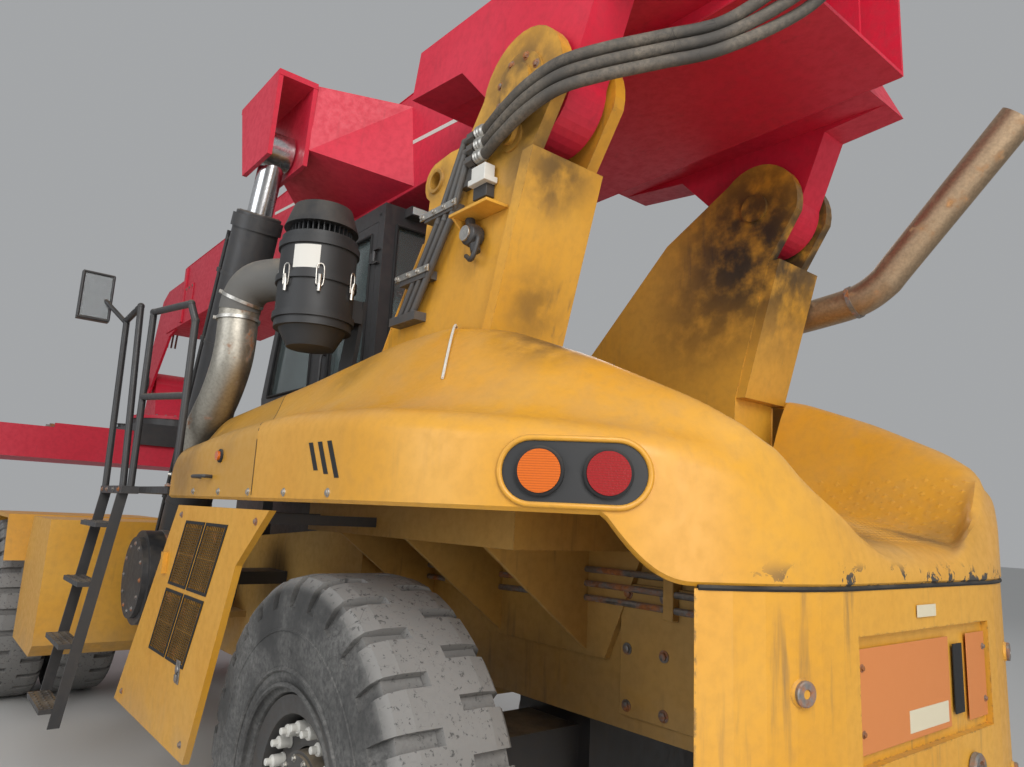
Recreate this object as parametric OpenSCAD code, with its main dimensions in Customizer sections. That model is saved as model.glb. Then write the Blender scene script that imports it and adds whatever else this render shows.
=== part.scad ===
// Reach stacker with a two-section boom and a twenty to forty foot container spreader.
// X runs forward, Y to the left, Z up. The origin is on the ground under the middle.
// Places along the machine are given from the rear axle unless a comment says otherwise.

/* [Layout] */
// Place of the rear axle along the machine
rear_axle_x = -3992; // [-4040:2:-3940]
// Distance between the two axles
wheelbase = 6000; // [5900:10:6100]
// Boom pivot, behind the rear axle
pivot_back = 440; // [400:10:480]
// Boom pivot, above the ground
pivot_z = 3660; // [3640:10:3680]
// Spreader pivot, ahead of the rear axle
nose_x = 8430; // [8380:10:8480]
// Spreader pivot, above the ground
nose_z = 3450; // [3420:10:3480]

/* [Wheels] */
// Tyre radius over the lugs
tyre_r = 810; // [790:5:830]
// Tyre width
tyre_w = 500; // [480:5:510]
// Radius of the tyre's seat on the rim
rim_r = 352; // [340:2:360]
// Lugs on each shoulder of a tyre
lug_count = 28; // [20:2:32]
// Width of the groove between two lugs
groove_w = 52; // [30:2:60]
// Depth of the tread grooves
groove_d = 34; // [20:2:45]
// Rear tyre centre, out from the middle
rear_tyre_y = 1393; // [1380:1:1410]
// Inner front tyre centre, out from the middle
front_tyre_y = 1270; // [1260:5:1290]
// Distance between the centres of twin tyres
twin_pitch = 575; // [550:5:600]
// Kingpin, out from the middle
kingpin_y = 1000; // [990:5:1010]
// Radius of the kingpins
kingpin_r = 48; // [40:1:55]
// Radius of the rear stub axles
stub_r = 72; // [65:1:80]
// Radius of the front hub seats
front_hub_r = 150; // [140:2:160]
// Running clearance round pins and shafts
pin_gap = 0.05; // [0.02:0.01:0.1]

/* [Chassis] */
// Half width of the frame between the steered wheels
neck_half = 410; // [380:5:420]
// Outer half width of the frame ahead of the rear wheels
frame_half = 750; // [720:5:770]
// Thickness of the long frame beams
beam_t = 290; // [240:10:320]
// Top of the deck that carries the towers
deck_z = 1950; // [1930:10:1960]
// Bottom of the deck that carries the towers
deck_low_z = 1750; // [1740:5:1770]
// Half width of that deck
deck_half = 1080; // [1070:5:1090]

/* [Towers] */
// Inner face of a tower's inner plate
tower_in_y = 690; // [680:5:700]
// Outer face of a tower's outer plate
tower_out_y = 1060; // [1055:5:1075]
// Thickness of the tower plates
tower_t = 60; // [40:5:65]
// Radius of the round tower head
tower_head_r = 260; // [240:5:270]
// Radius of the boom pivot pins
pivot_pin_r = 80; // [70:2:95]
// Height at which the closed tower box ends
tower_box_z = 3260; // [3150:10:3300]

/* [Hood] */
// Half width of the hood
hood_half = 1700; // [1680:5:1720]
// Back of the hood and counterweight, behind the rear axle
tail_back = 1550; // [1530:10:1570]
// Plan radius of the rear corners
tail_r = 1200; // [1150:10:1220]
// Front end of the hood wings
hood_front = 1650; // [1600:10:1680]
// Lower edge of the hood over the wheels
hood_low_z = 1885; // [1870:5:1895]
// Joint between the hood and the counterweight
seam_z = 1705; // [1700:1:1712]
// Rounding of the hood's upper edges
hood_round = 90; // [60:5:110]
// Thickness of the hood's skin
hood_t = 40; // [30:2:45]
// Bottom of the counterweight
counterweight_low_z = 560; // [500:10:700]
// Front face of the counterweight's cheeks, behind the rear axle
cheek_back = 1380; // [1360:10:1400]

/* [Boom] */
// Outer width of the outer boom
boom_w = 1000; // [960:10:1020]
// Underside of the outer boom
boom_low_z = 3980; // [3970:5:3990]
// Height of the outer boom
boom_h = 800; // [760:10:820]
// Plate thickness of both booms
boom_t = 18; // [12:1:22]
// Tail of the outer boom, behind the rear axle
boom_tail = 1350; // [1300:10:1380]
// Front end of the outer boom
boom_front = 6750; // [6650:10:6850]
// Gap between the outer and inner boom, filled by wear pads
boom_gap = 62; // [50:2:70]
// Tail of the inner boom, behind the rear axle
inner_tail = 1200; // [1150:10:1250]
// Front end of the inner boom
inner_front = 7720; // [7650:10:7780]
// Thickness of a boom lug
lug_t = 200; // [180:5:210]
// Lift cylinder eye on the boom, ahead of the rear axle
eye_x = 2050; // [2000:10:2100]
// Lift cylinder eye on the boom, above the ground
eye_z = 4250; // [4230:10:4270]
// Lift cylinder foot, ahead of the rear axle
foot_x = 3250; // [3220:10:3280]
// Lift cylinder foot, above the ground
foot_z = 1300; // [1280:10:1320]
// Lift cylinders, out from the middle
lift_y = 1200; // [1190:5:1215]
// Radius of the lift barrels
barrel_r = 155; // [140:5:165]
// Length of the lift barrels from the foot pin
barrel_len = 2720; // [2650:10:2760]
// Radius of the lift rods
lift_rod_r = 85; // [75:5:95]

/* [Spreader] */
// Length of the spreader with its arms in
spreader_len = 6058; // [6040:2:6070]
// Depth of the spreader over its corner castings
spreader_w = 2438; // [2420:2:2440]
// Top of the spreader's main frame
spreader_top_z = 2680; // [2660:10:2700]
// Height of the spreader's main frame
spreader_h = 380; // [340:10:400]
// Half length of the main frame
spreader_half = 2400; // [2300:10:2500]
// Lowest point of the twistlocks
twistlock_z = 1800; // [1780:5:1830]
// Radius of the slewing ring
ring_r = 560; // [500:10:600]

/* [Cab] */
// Back of the cab
cab_back = 1300; // [1290:10:1320]
// Front of the cab at the floor
cab_front = 3000; // [2950:10:3050]
// Half width of the cab
cab_half = 720; // [700:5:730]
// Underside of the cab
cab_low_z = 2150; // [2130:10:2170]
// Top of the cab
cab_top_z = 3800; // [3780:5:3820]
// Thickness of the cab's walls and posts
cab_t = 60; // [45:5:70]
// Width of the cab door
door_w = 640; // [600:10:650]
// Thickness of the cab's glass
glass_t = 8; // [6:1:10]

/* [Fittings] */
// Radius of the air cleaner
cleaner_r = 205; // [180:5:220]
// Radius of the intake pipe
intake_r = 112; // [90:2:115]
// Radius of the exhaust pipe
exhaust_r = 90; // [70:5:95]
// Radius of the hand rails
rail_r = 21; // [16:1:24]
// Bars across a grille window
grille_bars = 9; // [5:1:12]

/* [Hidden] */

yellow = "#e0a21c";
red = "#c4122f";
black = "#202124";
dark = "#3a3b3d";
grey = "#8b8d8c";

pivot = [-pivot_back, pivot_z];
wheel_z = tyre_r;
hood_rear = -tail_back;
boom_top_z = boom_low_z + boom_h;
inner_w = boom_w - 2 * (boom_t + boom_gap);
inner_low_z = boom_low_z + boom_t + boom_gap;
inner_top_z = boom_top_z - boom_t - boom_gap;
lift_lean = atan2(foot_x - eye_x, eye_z - foot_z);
lift_len = norm([foot_x - eye_x, eye_z - foot_z]);
tower_mid_y = (tower_in_y + tower_out_y) / 2;
beam_top_z = 1480;
hood_inner_y = tower_out_y + 40;
hood_inner_x = -410;
edge_run = 150;
hinge_places = [480, 1090];
door_pin_r = 8;
door_pin_y = hood_half - 56;
door_pin_z = hood_low_z - 57;
deck_front = 1210;
plate_z = 1945;
neck_front = 1500;
neck_back = -1000;
beam_bend = wheelbase - 1100;
tank_back = foot_x + 530;
tank_front = wheelbase - tyre_r - 350;
function beam_top(x) = deck_low_z + (x - neck_front) * (beam_top_z - deck_low_z) / (beam_bend - neck_front);

// Helpers: plates drawn in XZ, bars between two points, mirrored pairs
module rear() translate([rear_axle_x, 0, 0]) children();
module plate_xz(points, y, t) translate([0, y + t, 0]) rotate([90, 0, 0])
  linear_extrude(t) polygon(points);
module section_yz(x, len) translate([x, 0, 0]) rotate([90, 0, 90]) linear_extrude(len) children();
module rod_y(r, y0, y1, x, z) translate([x, y0, z]) rotate([-90, 0, 0])
  cylinder(r = r, h = y1 - y0, $fn = 48);
module block(low, high) translate(low) cube(high - low);
module bar(a, b, r) {
  d = b - a;
  translate(a) rotate([0, acos(d[2] / norm(d)), atan2(d[1], d[0])])
    cylinder(r = r, h = norm(d), $fn = 24);
}
module run(points, r) {
  for (i = [0 : len(points) - 2]) bar(points[i], points[i + 1], r);
  for (i = [1 : len(points) - 2]) translate(points[i]) sphere(r = r * 1.1, $fn = 24);
}
module pair() {
  children();
  mirror([0, 1, 0]) children();
}
function arc(c, r, a0, a1, n) = [for (i = [0 : n]) let (a = a0 + (a1 - a0) * i / n)
  c + r * [cos(a), sin(a)]];

// Swept round tube along hand-chosen points
function unit(v) = v / norm(v);
function tangent(p, i) = unit(p[min(i + 1, len(p) - 1)] - p[max(i - 1, 0)]);
function side_of(t) = unit(cross(abs(t[2]) > 0.9 ? [1, 0, 0] : [0, 0, 1], t));
function ring_at(p, i, r, n) = let (t = tangent(p, i), u = side_of(t), v = cross(t, u))
  [for (k = [0 : n - 1]) p[i] + r * (cos(360 * k / n) * u + sin(360 * k / n) * v)];
module swept(p, r, n = 8) {
  m = len(p);
  polyhedron(
    points = [for (i = [0 : m - 1]) each ring_at(p, i, r, n)],
    faces = concat(
      [for (i = [0 : m - 2], k = [0 : n - 1]) let (a = i * n + k, b = i * n + (k + 1) % n)
        each [[a, a + n, b + n], [a, b + n, b]]],
      [[for (k = [0 : n - 1]) k], [for (k = [n - 1 : -1 : 0]) (m - 1) * n + k]]));
}

// Tyre: turned carcass with grooves cut between the lugs
tyre_profile = [[rim_r, -0.36], [rim_r + 30, -0.36], [rim_r + 36, -0.42], [rim_r + 90, -0.475], [tyre_r - 270, -0.5],
  [tyre_r - 170, -0.5], [tyre_r - 90, -0.488], [tyre_r - 42, -0.46], [tyre_r - 12, -0.40],
  [tyre_r, -0.28]];
module tyre(y) {
  half = [for (p = tyre_profile) [p[0], p[1] * tyre_w]];
  other = [for (i = [len(half) - 1 : -1 : 0]) [half[i][0], -half[i][1]]];
  translate([0, y, wheel_z]) rotate([90, 0, 0]) difference() {
    rotate_extrude($fn = 96) polygon(concat(half, other));
    for (side = [-1, 1], i = [0 : lug_count - 1])
      rotate([0, 0, 360 * (i + side / 4) / lug_count]) groove(side);
  }
}
module groove(side) {
  deep = tyre_r - groove_d;
  edge = tyre_w / 2;
  translate([0, groove_w / 2, 0]) rotate([90, 0, 0]) linear_extrude(groove_w)
    polygon([[tyre_r + 20, side * edge * 0.16], [deep, side * edge * 0.22],
      [deep, side * edge * 0.80], [tyre_r - 118, side * (edge - 16)],
      [tyre_r - 128, side * (edge + 20)], [tyre_r + 20, side * (edge + 20)]]);
}

// Rim: barrel with flanges, a dished disc, a hub and its nuts, drawn in radius and width
module rim_half_section(bore, hub, disc, cover) {
  s = tyre_w * 0.36;
  back = (bore + hub) / 2;
  polygon([[bore, disc - 150], [back, disc - 150],
    [back + 10, disc - 30], [rim_r - 60, disc - 40], [rim_r - 45, disc - 90],
    [rim_r - 40, -s - 12], [rim_r + 26, -s - 22], [rim_r + 26, -s - 0.4], [rim_r - 0.3, -s - 0.4],
    [rim_r - 0.3, s + 0.4], [rim_r + 26, s + 0.4], [rim_r + 26, s + 22], [rim_r - 40, s + 12],
    [rim_r - 55, disc + 20], [rim_r - 90, disc - 6], [hub, disc],
    [hub - 8, disc + cover], [bore, disc + cover]]);
}
module rim_nuts(hub, disc) for (i = [0 : 17]) rotate([0, 0, 20 * i])
  translate([(hub + rim_r - 90) / 2, 0, disc - 12]) cylinder(r = 21, h = 62, $fn = 6);
module on_side(side) translate([0, 0, wheel_z]) rotate([side > 0 ? -90 : 90, 0, 0]) children();
module rim(side) on_side(side) translate([0, 0, rear_tyre_y]) {
  bore = stub_r + pin_gap;
  hub = stub_r + 120;
  rotate_extrude($fn = 72) rim_half_section(bore, hub, 60, 110);
  rim_nuts(hub, 60);
}

// Frame: neck between the steered wheels, tower deck, two long beams, cross members
module chassis_frame() color(dark) rear() {
  block([neck_back, -neck_half, 1040], [neck_front, neck_half, deck_low_z]);
  block([-560, -deck_half, deck_low_z], [deck_front, deck_half, deck_z]);
  block([neck_front - 320, -frame_half, 760], [neck_front, frame_half, deck_low_z]);
  pair() plate_xz([[neck_front - 320, 760], [beam_bend, 760], [beam_bend + 450, 1120],
    [wheelbase + 820, 1120], [wheelbase + 820, beam_top_z], [beam_bend, beam_top_z], [neck_front, deck_low_z], [neck_front - 320, deck_low_z]],
    frame_half - beam_t, beam_t);
  for (x = [tank_back - 130, beam_bend - 150, wheelbase + 500]) block([x, -frame_half + beam_t / 2, 1150],
    [x + 220, frame_half - beam_t / 2, 1390]);
  pair() plate_xz([[-420, 1300], [420, 1300], [620, deck_low_z], [-620, deck_low_z]],
    neck_half - 40, 70);
  pair() for (y = [lift_y - 220, lift_y + 190]) plate_xz([[foot_x - 420, 1100],
    [foot_x + 380, 1100], [foot_x + 150, foot_z + 60], [foot_x + 80, foot_z + 150],
    [foot_x - 80, foot_z + 150], [foot_x - 150, foot_z + 60]], y, 30);
  pair() block([foot_x - 380, frame_half - 10, 1060], [foot_x + 340, lift_y + 220, 1102]);
  pair() rod_y(70, lift_y - 220, lift_y + 220, foot_x, foot_z);
}

// Tower outlines in XZ: the outer plate has an ear and a waist, the inner plate runs straight
tower_outer = concat([[-280, deck_z], [-300, 2580], [-520, 3330]],
  arc(pivot, tower_head_r, 195, 10, 16),
  [[-60, pivot_z - 120], [60, pivot_z - 110]],
  arc([170, pivot_z - 220], 100, 75, -60, 6),
  [[240, pivot_z - 510], [540, 2700], [960, deck_z]]);
tower_inner = concat([[-280, deck_z], [-300, 2580], [-520, 3330]],
  arc(pivot, tower_head_r, 195, 48, 14),
  [[190, pivot_z - 60], [850, 2970], [1090, 2500], [1100, deck_z]]);
module tower(side) color(yellow) rear() mirror([0, side > 0 ? 0 : 1, 0]) {
  inner = tower_in_y + tower_t;
  outer = tower_out_y - tower_t;
  difference() {
    union() {
      plate_xz(tower_outer, outer, tower_t);
      plate_xz(tower_inner, tower_in_y, tower_t);
      plate_xz([[-280, deck_z], [-240, deck_z], [-258, 2590], [-455, tower_box_z],
        [-500, tower_box_z], [-300, 2580]], inner, outer - inner);
      plate_xz([[900, deck_z], [960, deck_z], [540, 2700], [250, 3100], [200, 3100], [490, 2700]],
        inner, outer - inner);
      plate_xz([[-300, 2580], [-360, 2580], [-585, 3330], [-520, 3330]], tower_in_y + 5,
        tower_out_y - tower_in_y + 30);
      rod_y(150, tower_out_y, tower_out_y + 14, pivot[0], pivot[1]);
      hull() {
        rod_y(92, tower_out_y + 10, tower_out_y + 34, pivot[0], pivot[1]);
        rod_y(40, tower_out_y + 10, tower_out_y + 34, pivot[0] + 36, pivot[1] - 215);
      }
      rod_y(66, tower_out_y - 2, tower_out_y + 11, pivot[0] + 36, pivot[1] - 215);
    }
    rod_y(42, outer - 1, tower_out_y + 1, 170, pivot_z - 220);
    for (d = [0, 60, 120]) rod_y(11, tower_out_y + 20, tower_out_y + 40, pivot[0] + 16 + d / 6, pivot[1] - 110 - d);
  }
  rod_y(pivot_pin_r, tower_in_y - 20, tower_out_y + 24, pivot[0], pivot[1]);
}
module tower_left() tower(1);
module tower_right() tower(-1);

// Rear plan outline shared by the hood and the counterweight
function plan_half(x, inset) = let (r = tail_r - inset, c = hood_rear + tail_r, d = c - x)
  hood_half - tail_r + (d <= 0 ? r : sqrt(max(0, r * r - d * d)));
module tail_plan(inset) {
  c = [hood_rear + tail_r, hood_half - tail_r];
  polygon(concat(arc(c, tail_r - inset, 90, 180, 18), arc([c[0], -c[1]], tail_r - inset, 180, 270, 18)));
}

// Counterweight: rounded plan, chamfered foot, recess in its rear face, round plugs
module counterweight() color(yellow) rear() {
  difference() {
    translate([0, 0, counterweight_low_z]) linear_extrude(seam_z - 6 - counterweight_low_z)
      difference() {
        tail_plan(4);
        polygon([[-cheek_back, 2000], [-cheek_back, 900], [neck_back - 12, 620],
          [neck_back - 12, -620], [-cheek_back, -900], [-cheek_back, -2000], [0, -2000], [0, 2000]]);
      }
    plate_xz([[hood_rear - 50, 400], [hood_rear - 50, 900], [hood_rear + 420, 400]], -2000, 4000);
    block([hood_rear - 20, -520, 1180], [hood_rear + 30, 520, 1560]);
    block([hood_rear + 25, -90, 1300], [hood_rear + 130, 90, 1480]);
  }
  translate([0, 0, seam_z - 7]) linear_extrude(6.7) intersection() {
    tail_plan(14);
    translate([hood_rear, -hood_half]) square([tail_back - cheek_back - 30, 2 * hood_half]);
  }
  for (side = [-1, 1]) for (z = [960, 1420])
    translate([hood_rear + tail_r, side * (hood_half - tail_r), z]) rotate([0, 0, side * 166])
      translate([tail_r - 12, 0, 0]) rotate([0, 90, 0]) cylinder(r1 = 46, r2 = 30, h = 24, $fn = 32);
  block([neck_back - 14, -320, 1060], [neck_back - 0.3, 320, 1560]);
}

// Hood heights along the machine: place, crest out from the middle, crest, shoulder, centre
hood_rows = [[-1550, 600, 1750, 1750, 1812], [-1500, 800, 2050, 2050, 1825],
  [-1450, 880, 2139, 2110, 1838], [-1280, 950, 2254, 2140, 1875], [-900, 1040, 2430, 2175, 1955],
  [-500, 1075, 2580, 2210, 2025], [-150, 1085, 2655, 2230, 2065], [200, 1110, 2640, 2245, 2080],
  [900, 1200, 2520, 2220, 2080], [1650, 1450, 2330, 2160, 2080]];
function hood_column(k) = [for (r = hood_rows) [r[0], r[k]]];
function hood_at(x, k) = (lookup(x - 60, hood_column(k)) + 2 * lookup(x, hood_column(k))
  + lookup(x + 60, hood_column(k))) / 4;
function ease(u) = u * u * (3 - 2 * u);
function round_drop(d) = d >= hood_round ? 0
  : hood_round - sqrt(max(0, hood_round * hood_round - pow(hood_round - d, 2)));
function hood_edge(x) = x > -cheek_back + edge_run ? hood_low_z
  : x < -cheek_back ? seam_z : seam_z + (hood_low_z - seam_z) * (1 - cos(90 * (x + cheek_back) / edge_run));
function hood_top(x, y) = let (w = plan_half(x, 0) - hood_round, ay = abs(y),
    cy = min(hood_at(x, 1), w - 60), top = hood_at(x, 3), crest = hood_at(x, 2), mid = hood_at(x, 4))
  ay > cy ? top + (crest - top) * ease(max(0, min(1, (w - ay) / (w - cy))))
  : crest + (mid - crest) * ease(min(1, (cy - ay) / 380));

// The hood is one strip round three sides: each row gives an outer and an inner point in plan
corner_c = [hood_rear + tail_r, hood_half - tail_r];
hood_wing = [for (d = [0, 20, 55, 140, 250, 500, 800, 1150, 1500, 1780])
  let (x = hood_front - d) [[x, hood_half], [x, hood_inner_y], d]];
tail_outer = concat(arc(corner_c, tail_r, 90, 180, 20),
  [[hood_rear, corner_c[1] * 0.66], [hood_rear, corner_c[1] * 0.33]]);
tail_rows = len(tail_outer);
hood_tail = [for (i = [0 : tail_rows - 1])
  [tail_outer[i], [hood_inner_x, hood_inner_y * (1 - i / tail_rows)], 999]];
hood_half_rows = concat(hood_wing, hood_tail);
hood_rows_all = concat(hood_half_rows, [[[hood_rear, 0], [hood_inner_x, 0], 999]],
  [for (i = [len(hood_half_rows) - 1 : -1 : 0]) let (r = hood_half_rows[i])
    [[r[0][0], -r[0][1]], [r[1][0], -r[1][1]], r[2]]]);
hood_steps = [0, 14, 45, hood_round];
hood_parts = [0.12, 0.28, 0.5, 0.75, 1];
function hood_cross(row, lo, hi, n) = let (m = (lo + hi) / 2, p = row[0] + m * (row[1] - row[0]))
  n == 0 ? m : abs(p[1]) > hood_at(p[0], 1) ? hood_cross(row, m, hi, n - 1) : hood_cross(row, lo, m, n - 1);
function hood_point(row, d, lift) = let (o = row[0], v = row[1] - row[0], p = o + v * d / norm(v))
  [p[0], p[1], hood_top(p[0], p[1]) - round_drop(d) - round_drop(row[2]) - lift];
function hood_section(row) = let (l = norm(row[1] - row[0]), z = hood_edge(row[0][0]),
    span = l - hood_round, crest = max(0.3 * span, min(0.85 * span, hood_cross(row, 0, 1, 14) * l - hood_round)),
    ds = concat(hood_steps, [for (i = [1 : 5]) hood_round + crest * i / 5],
      [for (u = hood_parts) hood_round + crest + u * (span - crest)]),
    under = [for (i = [len(ds) - 1 : -1 : 2]) hood_point(row, max(ds[i], hood_t), hood_t)],
    foot = row[0] + (row[1] - row[0]) * hood_t / l)
  concat([[row[0][0], row[0][1], z]], [for (d = ds) hood_point(row, d, 0)],
    under, [[foot[0], foot[1], z]]);
module loft(loops) {
  n = len(loops[0]);
  m = len(loops);
  polyhedron(points = [for (l = loops) each l],
    faces = concat([for (i = [0 : m - 2], k = [0 : n - 1]) let (a = i * n + k, b = i * n + (k + 1) % n)
      each [[a, b, b + n], [a, b + n, a + n]]],
      [[for (k = [n - 1 : -1 : 0]) k], [for (k = [0 : n - 1]) (m - 1) * n + k]]));
}
module rear_hood() color(yellow) rear() loft([for (r = hood_rows_all) hood_section(r)]);

// Engine, gearbox and drive shaft
module power_train() color(dark) rear() {
  block([neck_front + 40, -430, 1000], [2900, 430, 2050]);
  block([2900, -300, 820], [3560, 300, 1400]);
  rod_x(75, 3560, wheelbase - 330, 0, wheel_z + 60);
}
module rod_x(r, x0, x1, y, z) translate([x0, y, z]) rotate([0, 90, 0])
  cylinder(r = r, h = x1 - x0, $fn = 48);

// Fuel and oil tanks between the axles
module side_tanks() color(yellow) rear() pair() {
  plate_xz([[tank_back + 120, 700], [tank_front, 700], [tank_front, 1350], [tank_front - 140, 1690],
    [tank_back, 1690], [tank_back, 790]], frame_half + 40, 1150);
  for (x = [tank_back + 120, tank_front - 240]) block([x, frame_half + 0.3, 900], [x + 120, frame_half + 41, 1350]);
}

// Round hydraulic accumulator tank with its drain
module round_tank() color(black) rear() {
  rod_y(280, 1120, 1640, 2350, 1400);
  rod_y(240, 1640, 1672, 2350, 1400);
  translate([2350, 1400, 1085]) cylinder(r = 26, h = 60, $fn = 24);
  block([2200, frame_half + 0.3, 1360], [2500, 1125, 1440]);
}

// Front mudguards over the twin wheels
module front_fenders() color(yellow) rear() translate([wheelbase, 0, 0]) pair() {
  low = wheel_z + tyre_r + 35;
  plate_xz([[-950, low - 355], [-920, low - 355], [-770, low], [500, low], [860, low - 405],
    [895, low - 393], [520, low + 35], [-795, low + 35]], frame_half + 40, 1280);
  block([-400, frame_half + 0.3, beam_top_z - 230], [400, frame_half + 42, low + 35]);
}

// Walkway plates beside the cab and over the long beams
module deck_plates() color(black) rear() {
  pair() block([1700, frame_half - 40, plate_z - 40], [2600, hood_half, plate_z]);
  pair() plate_xz([[neck_front + 20, beam_top(neck_front + 20) + 0.3], [2600, beam_top(2600) + 0.3],
    [2600, plate_z - 40], [neck_front + 20, plate_z - 40]], 600, 140);
  pair() block([1800, 520, plate_z - 41], [2500, 660, 2096]);
  block([2960, -690, 2060], [3560, 690, 2095]);
  pair() plate_xz([[2920, beam_top(2920) + 0.3], [3500, beam_top(3500) + 0.3], [3500, 2061], [2920, 2061]],
    560, 130);
  block([cab_back + 60, -600, 2095], [2980, 600, cab_low_z - 0.3]);
  block([hood_inner_x + 6, 30 - tower_in_y, 2040], [cab_back - 60, tower_in_y - 30, 2076]);
  pair() block([hood_inner_x + 6, 360, deck_z + 0.3], [deck_front, 400, 2041]);
  pair() hood_front_wall();
  pair() for (x = hinge_places) {
    block([x - 22, deck_half + 0.3, door_pin_z - 38], [x - 2, door_pin_y + 9, door_pin_z + 7]);
    rod_x(door_pin_r, x - 3, x + 66, door_pin_y, door_pin_z);
  }
}
module hood_front_wall() {
  y1 = hood_half - hood_t - 8;
  block([hood_front - 60, hood_inner_y + 8, plate_z - 40], [1701, y1, plate_z]);
  section_yz(hood_front - 60, 24) polygon(concat([[hood_inner_y + 8, plate_z - 1]],
    [for (i = [0 : 6]) let (y = hood_inner_y + 8 + (y1 - hood_inner_y - 8) * i / 6)
      [y, hood_top(hood_front - 60, y) - max(hood_t + 45, 1.6 * round_drop(hood_half - y) + hood_t)]],
    [[y1, plate_z - 1]]));
}

// Ladders, hand rails and mirrors on both sides
module access_steps() color(black) rear() pair() {
  for (x = [2400, 2900]) section_yz(x, 14)
    polygon([[1930, 560], [1992, 560], [1798, plate_z - 4], [1736, plate_z - 4]]);
  for (i = [0 : 3]) block([2413, 1925 - i * 50, 640 + i * 350], [2901, 2045 - i * 50, 668 + i * 350]);
  run([[1720, 1660, plate_z + 0.3], [1720, 1660, 2900], [1740, 1690, 3000], [2350, 1750, 3050],
    [2350, 1745, plate_z - 4]], rail_r);
  run([[1720, 1660, 2460], [2350, 1748, 2500]], rail_r);
  run([[2900, 1780, plate_z - 4], [2880, 1800, 3080], [2550, 1790, 3120], [2440, 1770, plate_z - 4]], rail_r);
  block([2330, hood_half + 0.3, plate_z - 46], [2940, 1800, plate_z]);
  bar([2880, 1800, 3060], [3080, 1930, 3250], 16);
  block([3050, 1880, 3080], [3110, 2080, 3420]);
}

// Air cleaner with its rain cap, clamps and bracket
module air_cleaner() color(black) rear() translate([830, 1330, 0]) {
  translate([0, 0, 2750]) cylinder(r = cleaner_r - 12, h = 480, $fn = 64);
  for (z = [2790, 2980, 3160]) translate([0, 0, z]) cylinder(r = cleaner_r, h = 34, $fn = 64);
  translate([0, 0, 3230]) cylinder(r = 105, h = 60, $fn = 48);
  translate([0, 0, 3285]) cylinder(r1 = 190, r2 = 150, h = 120, $fn = 64);
  translate([0, 0, 2660]) cylinder(r1 = 120, r2 = 170, h = 92, $fn = 48);
  rod_x(98, 100, 235, 0, 3090);
  block([-60, -245, 2830], [60, -150, 2950]);
  plate_xz([[150, deck_z + 0.3], [340, deck_z + 0.3], [70, 2950], [-70, 2950]], -262, 24);
}

// Intake pipe from the cleaner's elbow down to the engine
intake_route = [[1065.3, 1330, 3090], [1125, 1330, 3090], [1250, 1385, 3110], [1360, 1465, 3085],
  [1430, 1500, 3000], [1450, 1505, 2900], [1450, 1505, 2760], [1480, 1508, 2620], [1600, 1510, 2460],
  [1780, 1515, 2300], [1900, 1510, 2160], [1950, 1505, 2060], [1960, 1500, 2000], [1960, 1500, plate_z + 0.3]];
module intake_pipe() color(grey) rear() swept(intake_route, intake_r, 12);

// Exhaust: elbow out of the right tower, then a bent tail pipe
exhaust_route = [[60, -1160, 3060], [-40, -1165, 3085], [-260, -1192, 3110], [-560, -1206, 3140],
  [-760, -1210, 3170], [-900, -1212, 3240], [-1010, -1212, 3350], [-1600, -1214, 3960]];
module exhaust_pipe() color("#8a6a4a") rear() {
  swept(exhaust_route, exhaust_r, 12);
  block([-180, -1100, 3010], [-60, -tower_out_y - 0.3, 3100]);
}

// Drive axle: housing, round centre and hub seats
module front_axle() color(dark) rear() translate([wheelbase, 0, 0]) {
  rod_y(190, -920, 920, 0, wheel_z);
  translate([0, 0, wheel_z]) sphere(r = 330, $fn = 64);
  pair() rod_y(front_hub_r, 900, front_tyre_y + twin_pitch + 130, 0, wheel_z);
  pair() block([-300, 500, wheel_z + 120], [300, 700, 1119.7]);
}

// Steered axle: beam with forked ends, steering cylinder and its hose stubs
module rear_axle() color(black) rear() {
  difference() {
    union() {
      block([-170, -880, 650], [170, 880, 970]);
      pair() translate([0, kingpin_y, 630]) cylinder(r = 118, h = 360, $fn = 48);
      pair() block([-118, 860, 650], [118, kingpin_y, 970]);
      block([-240, -330, 700], [240, 330, 1039.7]);
    }
    pair() translate([0, kingpin_y, 600]) cylinder(r = kingpin_r + pin_gap, h = 420, $fn = 48);
  }
  rod_y(95, -420, 420, 262, wheel_z - 20);
  rod_y(42, -700, 700, 262, wheel_z - 20);
}

// Knuckle: fork, kingpin, stub axle and steering arm
module knuckle(side) color(dark) rear() mirror([0, side > 0 ? 0 : 1, 0]) {
  for (z = [545, 1000]) translate([0, 0, z]) linear_extrude(75) union() {
    translate([0, kingpin_y]) circle(r = 112, $fn = 48);
    translate([-112, kingpin_y]) square([224, 140]);
  }
  block([-112, kingpin_y + 128, 545], [112, kingpin_y + 170, 1075]);
  rod_y(112, kingpin_y + 130, kingpin_y + 230, 0, wheel_z);
  rod_y(stub_r, kingpin_y + 130, rear_tyre_y + 40, 0, wheel_z);
  translate([0, kingpin_y, 560]) cylinder(r = kingpin_r, h = 500, $fn = 48);
}
module knuckle_left() knuckle(1);
module knuckle_right() knuckle(-1);

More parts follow.
